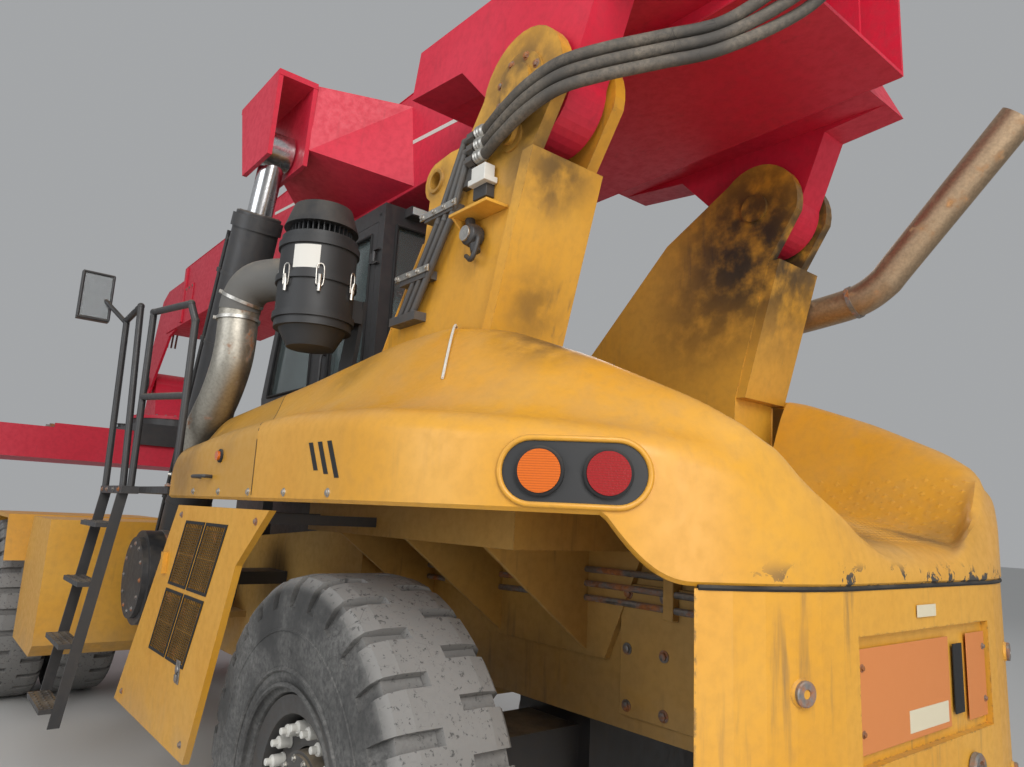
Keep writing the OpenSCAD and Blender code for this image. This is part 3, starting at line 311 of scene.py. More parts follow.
@dataclass(frozen=True)
class Metal(Recipe):
    """Bare, plated or rusty metal."""

    roughness: float = 0.32
    rust: float = 0.0
    rust_colour: Colour = (0.20, 0.075, 0.025)
    dust: float = 0.15
    dust_colour: Colour = (0.34, 0.29, 0.22)
    grain: float = 0.0

    def material(self) -> bpy.types.Material:
        """Builds the material: metal with turned grain, dull patches and rust in blotches."""
        g = Graph(self.name)
        blotch, fine = g.noise(0.10, 6, 0.62), g.noise(0.015, 5, 0.6)
        tone = g.mix(g.span(fine, 0.3, 0.75), self.colour, dim(self.colour, 0.72))
        limit = 0.82 - 0.5 * self.rust
        rust = g.times(g.span(blotch, limit - 0.16, limit), float(self.rust > 0))
        shade = g.mix(g.speckle(0.03, 5, 0.7, 0.3, 0.7), self.rust_colour, dim(self.rust_colour, 2.1))
        up = g.times(g.facing_up(0.2), self.dust)
        covered = g.math("MAXIMUM", rust, up)
        g.shade({"Base Color": g.mix(up, g.mix(rust, tone, shade), self.dust_colour),
                 "Metallic": g.math("SUBTRACT", 1.0, covered, True),
                 "Roughness": g.math("ADD", g.rougher(self.roughness, blotch, 0.25),
                                     g.times(covered, 0.4), True)})
        g.bump(fine, 0.12 + 0.4 * self.rust, 0.0008)
        if self.grain:
            g.bump(g.noise(0.0025, 2, 0.5, 0.0, (0.05, 1.0, 1.0)), self.grain, 0.0003)
        return g.material


@dataclass(frozen=True)
class Rubber(Recipe):
    """Tyre and hose rubber, dusty and scuffed; where it has a tread, its crown is painted pale, partly as dust and
    wear and partly as a painted highlight where light falls on it.
    """

    dust_colour: Colour
    dust: float
    cracks: float = 0.5
    roughness: float = 0.72
    tread_radius: float = 0.0
    tread_dust_and_highlight_colour: Colour = (0.235, 0.230, 0.222)
    scuff_colour: Colour = (0.012, 0.012, 0.012)
    axle_z: float = 0.81

    def material(self) -> bpy.types.Material:
        """Builds the material: dark rubber under ground-in dust, with fine cuts and cracks."""
        g = Graph(self.name)
        fine = g.noise(0.018, 6, 0.7)
        cover = g.times(g.speckle(0.28, 6, 0.6, 0.3, 0.72, 0.4), g.span(fine, 0.2, 0.75), self.dust)
        colour = g.mix(cover, self.colour, self.dust_colour)
        if self.tread_radius:
            ahead = g.math("SUBTRACT", g.axis(0), REAR_AXLE_X)
            ahead = g.math("MINIMUM", g.math("ABSOLUTE", ahead),
                           g.math("ABSOLUTE", g.math("SUBTRACT", ahead, WHEELBASE)))
            above = g.math("SUBTRACT", g.axis(2), self.axle_z)
            radius = g.math("SQRT", g.math("ADD", g.times(ahead, ahead), g.times(above, above)))
            tread = g.span(radius, self.tread_radius - 0.05, self.tread_radius)
            pits = g.speckle(0.022, 5, 0.7, 0.57, 0.64, 0.3)
            # painted highlight and dust: the tread's crown is made pale, partly for dust and wear, partly for the
            # light that falls on it
            colour = g.mix(g.times(tread, 0.85), colour, self.tread_dust_and_highlight_colour)
            colour = g.mix(g.times(tread, pits, 0.75), colour, self.colour)
            g.bump(g.times(tread, pits), -0.7, 0.004)
        scuffs = g.times(g.span(g.cells(0.055, True), 0.03, 0.0), g.speckle(0.2, 4, 0.55, 0.52, 0.7))
        g.shade({"Base Color": g.mix(g.times(scuffs, 0.6), colour, self.scuff_colour),
                 "Roughness": g.rougher(self.roughness, fine, 0.2, True), "Specular IOR Level": 0.32})
        g.bump(fine, 0.35, 0.0016)
        g.bump(scuffs, -self.cracks, 0.003)
        return g.material


@dataclass(frozen=True)
class Plastic(Recipe):
    """Moulded plastic or thick black paint."""

    roughness: float = 0.5
    dust: float = 0.3
    texture: float = 0.15
    dust_colour: Colour = (0.32, 0.27, 0.20)

    def material(self) -> bpy.types.Material:
        """Builds the material: a fine moulded grain under a film of dust."""
        g = Graph(self.name)
        patch = g.noise(0.12, 5, 0.6)
        film = g.times(g.facing_up(-0.1), g.span(patch, 0.25, 0.75), self.dust)
        g.shade({"Base Color": g.mix(film, self.colour, self.dust_colour),
                 "Roughness": g.rougher(self.roughness, patch, 0.25, True)})
        g.bump(g.noise(0.004, 3, 0.6), self.texture, 0.0004)
        return g.material


@dataclass(frozen=True)
class Glass(Recipe):
    """Tinted window glass with a film of dust."""

    def material(self) -> bpy.types.Material:
        """Builds the material: clear glass, duller where dust has settled."""
        g = Graph(self.name)
        g.shade({"Base Color": self.colour, "Transmission Weight": 0.75, "IOR": 1.45,
                 "Roughness": g.rougher(0.04, g.speckle(0.3, 6, 0.6, 0.35, 0.8), 0.16)})
        return g.material


@dataclass(frozen=True)
class Lens(Recipe):
    """Coloured lamp lens with moulded ribs."""

    rib: float = 0.007

    def material(self) -> bpy.types.Material:
        """Builds the material: glossy tinted plastic with ribs and a film of dirt."""
        g = Graph(self.name)
        dirt = g.times(g.speckle(0.03, 5, 0.65, 0.4, 0.8), 0.35)
        g.shade({"Base Color": g.mix(dirt, self.colour, dim(self.colour, 0.35)), "Roughness": 0.22,
                 "Coat Weight": 0.5, "Subsurface Weight": 0.15})
        g.bump(g.node("TexWave", "Fac", {"Scale": 0.16 / self.rib, "Vector": g.object}, bands_direction="Z"),
               0.35, 0.001)
        return g.material


@dataclass(frozen=True)
class LampLens(Recipe):
    """Amber lamps with a red one at the back of each pod, told apart by their place."""

    rear_colour: Colour
    ring_colour: Colour
    split: float

    def material(self) -> bpy.types.Material:
        """Builds the material: two colours, fine dark rings and a pebbled face."""
        g = Graph(self.name)
        split = REAR_AXLE_X + self.split
        base = g.mix(g.span(g.axis(0), split + 0.01, split - 0.01), self.colour, self.rear_colour)
        rings = g.span(g.math("SINE", g.times(g.axis(2), 900.0)), 0.2, 0.9, 0.35)
        g.shade({"Base Color": g.mix(rings, base, self.ring_colour), "Roughness": 0.2, "Coat Weight": 0.6})
        g.bump(g.cells(0.006), 0.3, 0.001)
        return g.material


def grid_faces(rows: int, cols: int, closed: bool = False) -> list[tuple[int, ...]]:
    """Quads of a grid of points stored row by row, round from last to first column if closed."""
    across = cols if closed else cols - 1
    i, k = np.meshgrid(np.arange(rows - 1), np.arange(across), indexing="ij")
    a, b = i * cols + k, i * cols + (k + 1) % cols
    return [tuple(f) for f in np.stack([a, b, b + cols, a + cols], -1).reshape(-1, 4).tolist()]


def end_faces(rows: int, cols: int) -> list[tuple[int, ...]]:
    """The two faces that close a closed grid's first and last row."""
    last = (rows - 1) * cols
    return [tuple(range(cols))[::-1], tuple(range(last, last + cols))]


def spline(points: Sequence[Point], step: float) -> Array:
    """A Catmull-Rom curve through the points, with samples about step metres apart."""
    p = np.array(points, float)
    ends = np.vstack([2 * p[0] - p[1], p, 2 * p[-1] - p[-2]])
    out = []
    for i in range(len(p) - 1):
        a, b, c, d = ends[i:i + 4]
        count = max(2, int(math.ceil(np.linalg.norm(c - b) / step)))
        t = (np.arange(count) / count)[:, None]
        out.append(0.5 * (2 * b + (c - a) * t + (2 * a - 5 * b + 4 * c - d) * t ** 2
                          + (3 * b - a - 3 * c + d) * t ** 3))
    return np.vstack(out + [p[-1:]])


def distances(path: Array) -> Array:
    """How far along a line of points each of them lies."""
    return np.concatenate([[0], np.cumsum(np.linalg.norm(np.diff(path, axis=0), axis=1))])


def frames_along(path: Array) -> tuple[Array, Array]:
    """Two directions square to the path at each point, turned as little as possible."""
    tangent = np.gradient(path, axis=0)
    tangent /= np.linalg.norm(tangent, axis=1)[:, None]
    side = np.cross(tangent[0], (0.0, 0.0, 1.0) if abs(tangent[0][2]) < 0.9 else (1.0, 0.0, 0.0))
    sides = []
    for t in tangent:
        side = side - t * side.dot(t)
        side = side / np.linalg.norm(side)
        sides.append(side)
    return np.array(sides), np.cross(tangent, sides)


class Shape:
    """Points and faces gathered before they become one mesh. Each method gives the shape back."""

    def __init__(self) -> None:
        """Starts empty."""
        self.points: list[Array] = []
        self.faces: list[tuple[int, ...]] = []
        self.count = 0

    def add(self, points: Array, faces: Sequence[Sequence[int]]) -> "Shape":
        """Adds points, one row each, and the faces between them."""
        points = np.asarray(points, float).reshape(-1, 3)
        self.points.append(points)
        self.faces += [tuple(int(i) + self.count for i in f) for f in faces]
        self.count += len(points)
        return self

    def box(self, low: Point, high: Point) -> "Shape":
        """Adds an upright box between two corners."""
        (x0, y0, z0), (x1, y1, z1) = low, high
        pts = [(x, y, z) for z in (z0, z1) for x, y in ((x0, y0), (x1, y0), (x1, y1), (x0, y1))]
        return self.add(pts, BOX_FACES)

    def bar(self, a: Point, b: Point, width: float, height: float, up: Point = UP) -> "Shape":
        """Adds a straight bar of rectangular section.

        Args:
            a: start of its middle line.
            b: end of it.
            width: size across.
            height: size along up.
            up: direction of the height.
        """
        run = (b - a) / np.linalg.norm(b - a)
        side = np.cross(up, run)
        side /= np.linalg.norm(side)
        lift = np.cross(run, side)
        ring = [side * sx * width / 2 + lift * sz * height / 2
                for sx, sz in ((-1, -1), (1, -1), (1, 1), (-1, 1))]
        return self.add([end + r for end in (a, b) for r in ring], BOX_FACES)

    def prism(self, outline: Sequence[Point], axis: int, low: float, high: float) -> "Shape":
        """Adds a plate drawn in the plane of the two other axes.

        Args:
            outline: corner pairs in the order of the two other axes.
            axis: 0, 1 or 2, the direction of the thickness.
            low: one face.
            high: the other face.
        """
        flat = np.array(outline, float)
        pts = np.vstack([np.insert(flat, axis, low, 1), np.insert(flat, axis, high, 1)])
        return self.add(pts, end_faces(2, len(flat)) + grid_faces(2, len(flat), True))

    def tube(self, path: Array, radius: Union[float, Array], sides: int = 16, caps: bool = True) -> "Shape":
        """Adds a round tube.

        Args:
            path: points of its centre line.
            radius: one number or one for each point.
            sides: points round the tube.
            caps: whether its ends are closed.
        """
        path = np.asarray(path, float)
        a, b = frames_along(path)
        turn = np.linspace(0, 2 * math.pi, sides, endpoint=False)
        r = np.broadcast_to(np.asarray(radius, float), (len(path),))[:, None, None]
        ring = np.cos(turn)[None, :, None] * a[:, None] + np.sin(turn)[None, :, None] * b[:, None]
        faces = grid_faces(len(path), sides, True) + (end_faces(len(path), sides) if caps else [])
        return self.add(path[:, None] + r * ring, faces)

    def pipe(self, points: Sequence[Point], step: float, radius: float, sides: int = 10) -> "Shape":
        """Adds a tube along a curve through points given from the rear axle."""
        return self.tube(spline([rel(*p) for p in points], step), radius, sides)

    def seal(self, corners: Sequence[Point], radius: float) -> "Shape":
        """Adds a closed ring of straight tubes through corners given from the rear axle."""
        places = [rel(*c) for c in corners]
        for k, corner in enumerate(places):
            self.tube(np.array([corner, places[(k + 1) % len(places)]]), radius, 8)
        return self

    def lathe(self, profile: Sequence[Point], centre: Point, axis: Point, sides: int = 48) -> "Shape":
        """Adds a turned form.

        Args:
            profile: pairs of distance along the axis and radius.
            centre: where that distance is 0.
            axis: direction of the axis.
            sides: points round the axis.
        """
        n = np.array(axis, float)
        n /= np.linalg.norm(n)
        u = np.cross(n, (0, 0, 1) if abs(n[2]) < 0.9 else (1, 0, 0))
        u /= np.linalg.norm(u)
        v = np.cross(n, u)
        turn = np.linspace(0, 2 * math.pi, sides, endpoint=False)
        ring = np.cos(turn)[:, None] * u + np.sin(turn)[:, None] * v
        prof = np.array(profile, float)
        pts = np.array(centre) + prof[:, 0, None, None] * n + prof[:, 1, None, None] * ring[None]
        return self.add(pts, grid_faces(len(prof), sides, True) + end_faces(len(prof), sides))

    def hoop(self, profile: Sequence[Point], centre: Point, axis: Point, sides: int = 48) -> "Shape":
        """Adds a turned ring: as lathe, but the profile is closed and the middle stays open."""
        self.lathe([*profile, profile[0]], centre, axis, sides)
        del self.faces[-2:]
        return self

    def band(self, centre: Point, axis: Point, half: float, inner: float, outer: float,
             sides: int = 48) -> "Shape":
        """Adds a flat ring of half width half between two radii."""
        return self.hoop([(-half, inner), (-half, outer), (half, outer), (half, inner)], centre, axis, sides)

    def grid(self, points: Array, closed: bool = False) -> "Shape":
        """Adds a surface of rows of points, shape (rows, columns, 3)."""
        return self.add(points, grid_faces(points.shape[0], points.shape[1], closed))

    def bolts(self, places: Sequence[Point], axis: Point, radius: float, height: float) -> "Shape":
        """Adds hexagon bolt heads on round washers.

        Args:
            places: where each washer sits.
            axis: direction that the heads point to.
            radius: radius of a head over its corners.
            height: height of a head.
        """
        for place in places:
            self.lathe([(0, radius * 1.5), (height * 0.22, radius * 1.5)], place, axis, 18)
            self.lathe([(height * 0.2, radius), (height * 0.9, radius), (height, radius * 0.84)],
                       place, axis, 6)
        return self

    def mirrored(self) -> "Shape":
        """A copy on the other side of the machine."""
        other = Shape()
        other.points = [pts * (1, -1, 1) for pts in self.points]
        other.faces = [f[::-1] for f in self.faces]
        other.count = self.count
        return other


class Finishes:
    """Every material of the machine, built once, and the table of CAD nodes to materials."""

    YELLOW, YELLOW_FADED = (0.64, 0.300, 0.020), (0.68, 0.350, 0.042)
    TOWER_SOOT = (
        ((-0.44, 1.08, 3.66), 0.42, 0.75), ((-0.50, 0.95, 3.30), 0.30, 0.8),
        ((-0.44, -1.08, 3.66), 0.70, 0.95), ((-0.40, -0.70, 3.40), 0.75, 0.95),
        ((0.0, -1.06, 3.05), 0.60, 0.9), ((0.17, 1.06, 3.44), 0.16, 0.6),
        ((0.25, 1.06, 2.95), 0.25, 0.5), ((-0.38, 0.90, 2.75), 0.22, 0.5))
    HOOD_SOOT = (
        ((-0.70, 1.02, 2.50), 0.34, 0.8), ((-0.45, 1.0, 2.58), 0.22, 0.5),
        ((-1.25, 0.15, 1.88), 0.34, 0.6), ((-1.35, -0.45, 1.88), 0.26, 0.6),
        ((1.45, 1.70, 2.05), 0.40, 0.45), ((1.62, 1.45, 2.25), 0.35, 0.4),
        ((0.30, 1.30, 2.45), 0.25, 0.35), ((0.80, 1.60, 2.15), 0.20, 0.3))
    RECIPES = {
        "yellow": Paint("Yellow paint", YELLOW, YELLOW_FADED, mud_top=1.1),
        "tower": Paint("Tower paint", YELLOW, YELLOW_FADED, streaks=0.75, chips=0.6, soot=TOWER_SOOT),
        "hood": Paint("Hood paint", YELLOW, YELLOW_FADED, roughness=0.38, coat=0.2, dust=0.25,
                      streaks=0.22, soot=HOOD_SOOT, chips=0.3, edge=0.004, ripple=0.12,
                      panel=(0.42, 1.70, 1.8), lip_z=1.705),
        "ballast": Paint("Counterweight paint", YELLOW, YELLOW_FADED, streaks=0.8, chips=0.75,
                         mud_top=1.0, edge=0.012, ripple=0.3),
        "wheel": Paint("Wheel paint", (0.040, 0.040, 0.042), (0.06, 0.058, 0.055), dust=0.6, streaks=0.4,
                       streak_colour=(0.12, 0.08, 0.05), chips=0.7, chip_colour=(0.20, 0.16, 0.13), edge=0.005),
        "chassis": Paint("Chassis paint", (0.50, 0.27, 0.05), (0.42, 0.25, 0.07), roughness=0.55, dust=0.8,
                         streaks=0.8, streak_colour=(0.10, 0.06, 0.03), chips=0.6, mud_top=1.5, edge=0.008),
        "red": Paint("Red paint", (0.60, 0.008, 0.036), (0.64, 0.022, 0.055), roughness=0.46, coat=0.06,
                     dust=0.15, streaks=0.3, streak_colour=(0.09, 0.02, 0.02), chips=0.4, edge=0.005),
        "black": Paint("Black paint", (0.022, 0.022, 0.024), (0.035, 0.035, 0.037), dust=0.45, streaks=0.2,
                       streak_colour=(0.10, 0.08, 0.06), chips=0.55, chip_colour=(0.16, 0.13, 0.11), edge=0.004),
        "frame": Paint("Frame paint", (0.055, 0.055, 0.058), (0.075, 0.073, 0.07), dust=0.6, streaks=0.35,
                       streak_colour=(0.16, 0.10, 0.05), chips=0.6, chip_colour=(0.17, 0.10, 0.06),
                       mud_top=1.4, edge=0.005),
        "cleaner": Plastic("Cleaner plastic", (0.020, 0.021, 0.023), 0.42, 0.35),
        "trim": Plastic("Cab trim", (0.035, 0.036, 0.040), 0.62, 0.15, 0.3),
        "gasket": Plastic("Rubber seal", (0.010, 0.010, 0.011), 0.65, 0.3, 0.25),
        "white": Plastic("White plastic", (0.62, 0.61, 0.57), 0.42, 0.2),
        "sign": Plastic("Blank plate", (0.58, 0.20, 0.055), 0.5, 0.55, 0.05),
        "cream": Plastic("Cream plate", (0.63, 0.57, 0.42), 0.45, 0.35, 0.05),
        "elbow": Plastic("Elbow rubber", (0.115, 0.112, 0.105), 0.55, 0.7),
        "pipe": Metal("Intake steel", (0.46, 0.43, 0.37), 0.38, 0.18, dust=0.35),
        "exhaust": Metal("Exhaust steel", (0.48, 0.35, 0.23), 0.40, 0.18, (0.26, 0.14, 0.06), 0.12),
        "chrome": Metal("Rod chrome", (0.72, 0.72, 0.73), 0.12, dust=0.05, grain=0.1),
        "zinc": Metal("Zinc fittings", (0.58, 0.56, 0.52), 0.30, 0.12),
        "steel": Metal("Worn steel", (0.33, 0.32, 0.31), 0.42, 0.42, dust=0.3),
        "mesh": Metal("Bronze mesh", (0.20, 0.125, 0.05), 0.5, 0.2, dust=0.1),
        "tyre": Rubber("Tyre rubber", (0.045, 0.045, 0.045), (0.24, 0.235, 0.225), 0.75, tread_radius=0.795),
        "hose": Rubber("Hose rubber", (0.060, 0.055, 0.050), (0.24, 0.20, 0.155), 0.85, 0.15, 0.6),
        "glass": Glass("Tinted glass", (0.30, 0.36, 0.36)),
        "mirror": Glass("Mirror glass", (0.80, 0.84, 0.86)),
        "amber": Lens("Amber lens", (0.62, 0.125, 0.008)),
        "clear": Lens("Clear lens", (0.75, 0.76, 0.74)),
        "lamps": LampLens("Lamp lenses", (0.62, 0.125, 0.008), (0.30, 0.006, 0.008), (0.10, 0.02, 0.004),
                          -1.168),
    }
    NODES = {
        "yellow": "side_tanks front_fenders grille_door_left grille_door_right",
        "tower": "tower_left tower_right", "hood": "rear_hood", "ballast": "counterweight",
        "wheel": "rim_rear_left rim_rear_right rims_front_left rims_front_right",
        "red": "boom_outer boom_inner spreader_head spreader_frame spreader_arm_left spreader_arm_right",
        "black": "round_tank access_steps deck_plates rear_axle cab_shell cab_door rotator "
                 "lift_barrel_left lift_barrel_right",
        "chassis": "chassis_frame", "frame": "tower_pipes power_train front_axle knuckle_left knuckle_right",
        "cleaner": "air_cleaner", "trim": "cab_interior", "pipe": "intake_pipe",
        "exhaust": "exhaust_pipe", "chrome": "lift_rod_left lift_rod_right",
        "hose": "boom_hoses", "glass": "cab_glass door_glass", "lamps": "lamps",
        "tyre": "tyre_rear_left tyre_rear_right tyres_front_left tyres_front_right"}

    def __init__(self) -> None:
        """Builds the materials and gives every CAD node its own."""
        self.materials = {key: recipe.material() for key, recipe in self.RECIPES.items()}
        for key, nodes in self.NODES.items():
            for node in nodes.split():
                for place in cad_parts[node].material_slots:
                    place.material = self.materials[key]


@dataclass
class Assembly:
    """Base of the sub-assemblies: publishes their pieces."""

    finishes: Finishes

    def piece(self, shape: Shape, name: str, look: str, rides: Optional[str] = Body.ROOT.value,
              bevel: float = 0.0, smooth: float = 35.0, replaces: Optional[str] = None) -> bpy.types.Object:
        """Turns a shape into an object that rides on a body.

        Args:
            shape: its points and faces.
            name: the piece's name.
            look: its finish and a slot name, which nothing uses, with a blank between.
            rides: the body's name, or None for a piece that rides on no body.
            bevel: width of rounded edges in metres, 0 for none.
            smooth: edges flatter than this many degrees look smooth.
            replaces: the CAD node that this piece stands for.

        Returns:
            The object.
        """
        finish, slot = look.split()
        mesh = bpy.data.meshes.new(name)
        mesh.from_pydata(np.vstack(shape.points).tolist(), [], shape.faces)
        mesh.validate()
        mesh.materials.append(self.finishes.materials[finish])
        mesh.polygons.foreach_set("use_smooth", np.ones(len(mesh.polygons), bool))
        mesh.set_sharp_from_angle(angle=math.radians(smooth))
        mesh.update()
        obj = bpy.data.objects.new(name, mesh)
        bpy.context.scene.collection.objects.link(obj)
        if bevel > 0:
            soften = obj.modifiers.new("Rounded edges", "BEVEL")
            soften.width, soften.segments, soften.limit_method = bevel, 2, "ANGLE"
            soften.harden_normals = False
        if replaces:
            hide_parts(replaces)
        if rides:
            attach(obj, rides)
        LOG.info("%s: %d faces", name, len(mesh.polygons))
        return obj

    def one(self, shape: Shape, name: str, look: str, body: Body = Body.ROOT,
            **options: object) -> bpy.types.Object:
        """Publishes one piece on a body, with the options of piece."""
        return self.piece(shape, name, look, body.value, **options)

    def both(self, shape: Shape, name: str, look: str, body: Body = Body.ROOT,
             **options: object) -> None:
        """Publishes a shape of the left side and its mirror image, each on its own side's body."""
        for half, side in ((shape, "left"), (shape.mirrored(), "right")):
            self.piece(half, f"{name}_{side}", look, body.value.format(side), **options)


@dataclass
class Studio:
    """Camera at the photograph's view, pale floor and soft lights."""

    eye: Point = (-6.666, 2.827, 1.867)
    yaw: float = -38.87
    pitch: float = 10.28
    roll: float = 2.77
    lens: float = 25.91
    sensor: float = 36.0
    sky: Colour = (0.80, 0.82, 0.84)
    sky_strength: float = 0.46
    floor_colour: Colour = (0.56, 0.56, 0.55)
    floor_half: float = 60.0

    def build(self) -> None:
        """Places the camera, the floor and the lights."""
        self.camera()
        self.floor()
        self.light("Key light", (-11.0, 5.0, 7.5), (-2.5, 0.4, 2.2), 5.0, 650.0, (1.0, 0.975, 0.94))
        self.light("Low light", (-11.5, 2.5, 2.4), (-4.0, 0.5, 3.2), 3.6, 160.0, (1.0, 0.98, 0.95))
        self.light("Side light", (-3.0, 10.0, 4.5), (0.5, 0.5, 2.0), 6.0, 300.0, (0.94, 0.97, 1.0))
        self.light("Back light", (6.0, -9.0, 9.0), (0.0, 0.0, 2.5), 6.0, 380.0, (0.95, 0.97, 1.0))
        world = bpy.data.worlds.new("Studio")
        world.use_nodes = True
        ground = world.node_tree.nodes["Background"]
        ground.inputs["Color"].default_value = (*self.sky, 1.0)
        ground.inputs["Strength"].default_value = self.sky_strength
        bpy.context.scene.world = world
        bpy.context.scene.view_settings.view_transform = "Standard"

    def camera(self) -> None:
        """Turns the camera by yaw, pitch and roll, as measured on the photograph."""
        yaw, pitch, roll = (math.radians(a) for a in (self.yaw, self.pitch, self.roll))
        ahead = Vector((math.cos(yaw) * math.cos(pitch), math.sin(yaw) * math.cos(pitch), math.sin(pitch)))
        right = Vector((math.sin(yaw), -math.cos(yaw), 0.0))
        up = right.cross(ahead)
        across = right * math.cos(roll) + up * math.sin(roll)
        above = up * math.cos(roll) - right * math.sin(roll)
        data = bpy.data.cameras.new("Camera")
        data.lens, data.sensor_width, data.clip_end = self.lens, self.sensor, 200.0
        camera = bpy.data.objects.new("Camera", data)
        turn = Matrix((across, above, -ahead)).transposed().to_4x4()
        camera.matrix_world = Matrix.Translation(self.eye) @ turn
        bpy.context.scene.collection.objects.link(camera)
        bpy.context.scene.camera = camera

    def floor(self) -> None:
        """A wide pale floor, not part of the object."""
        g = Graph("Studio floor")
        g.shade({"Base Color": self.floor_colour, "Roughness": 0.9})
        mesh = bpy.data.meshes.new("Floor")
        s = self.floor_half
        mesh.from_pydata([(-s, -s, 0), (s, -s, 0), (s, s, 0), (-s, s, 0)], [], [(0, 1, 2, 3)])
        mesh.materials.append(g.material)
        floor = bpy.data.objects.new("Floor", mesh)
        bpy.context.scene.collection.objects.link(floor)

    def light(self, name: str, place: Point, target: Point, size: float, power: float, colour: Colour) -> None:
        """One square area light.

        Args:
            name: the light's name.
            place: where it stands.
            target: what it looks at.
            size: its side in metres.
            power: watts.
            colour: its colour.
        """
        data = bpy.data.lights.new(name, "AREA")
        data.size, data.energy, data.color = size, power, colour
        lamp = bpy.data.objects.new(name, data)
        lamp.location = place
        lamp.rotation_mode = "QUATERNION"
        lamp.rotation_quaternion = (Vector(target) - Vector(place)).to_track_quat("-Z", "Y")
        bpy.context.scene.collection.objects.link(lamp)


@dataclass
class BoomHoses(Assembly):
    """Three pressure hoses from the tower's pipes to the boom's tail, and their fittings.

    The hose run has a part measured from its pipe's end and a part on the boom.
    """

    radius: float = 0.024
    pipe_end: Point = (-0.2203, 1.106, 3.512)
    pitch: float = 0.056
    boom_pitch: float = 0.07
    sag: float = 0.02
    start: Point = (-0.55, 1.10, 3.62)
    end: Point = (-1.37, 0.40, 4.20)
    lead: tuple[Point, ...] = ((0, 0, 0), (-0.06, 0, 0), (-0.19, 0.024, 0.02), (-0.36, 0.03, 0.06),
                               (-0.52, -0.004, 0.10), (-0.66, -0.11, 0.14), (-0.80, -0.26, 0.19),
                               (-0.96, -0.43, 0.25))
    tail: tuple[Point, ...] = ((-1.36, 0.56, 3.88), (-1.50, 0.45, 4.01), (-1.56, 0.38, 4.13),
                               (-1.51, 0.34, 4.225), (-1.44, 0.33, 4.24), (-1.3703, 0.33, 4.24))

    def route(self, i: int) -> Array:
        """The points that hose i follows, the same as the CAD hose's."""
        lead = np.array(self.lead) + self.pipe_end - (0, 0, self.pitch * i)
        tail = np.array(self.tail) - (0, self.boom_pitch * i, 0)
        tail[0, 2] -= self.sag * i
        return np.vstack([lead, tail]) + (REAR_AXLE_X, 0, 0)

    def build(self) -> None:
        """Builds the hoses, each on no body, and their end fittings."""
        near, far = Shape(), Shape()
        sleeve = [(0, 0.029), (0.008, 0.032), (0.016, 0.029), (0.024, 0.032), (0.032, 0.029),
                  (0.040, 0.032), (0.052, 0.029), (0.056, 0.0255)]
        for i in range(3):
            route = self.route(i)
            path = spline(route, 0.022)
            along = distances(path)
            clamps = np.where(np.sin(along * 2 * math.pi / 0.34 + i) > 0.985, 1.03, 1.0)
            hose = self.piece(Shape().tube(path, self.radius * clamps, 20), f"boom_hose_{i + 1}",
                              "hose hose_rubber", None, smooth=50, replaces="boom_hoses")
            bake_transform(hose)
            near.lathe(sleeve, route[0], REARWARD, 24)
            far.lathe(sleeve, route[-1], REARWARD, 24)
            far.lathe([(-0.002, 0.030), (0.016, 0.030), (0.020, 0.026)], route[-1], REARWARD, 6)
        self.one(near, "hose_sleeves_tower", "zinc tube_steel")
        self.one(far, "hose_sleeves_boom", "zinc tube_steel", Body.BOOM)


def ease(u: Array) -> Array:
    """Smooth step from 0 to 1."""
    return u * u * (3 - 2 * u)


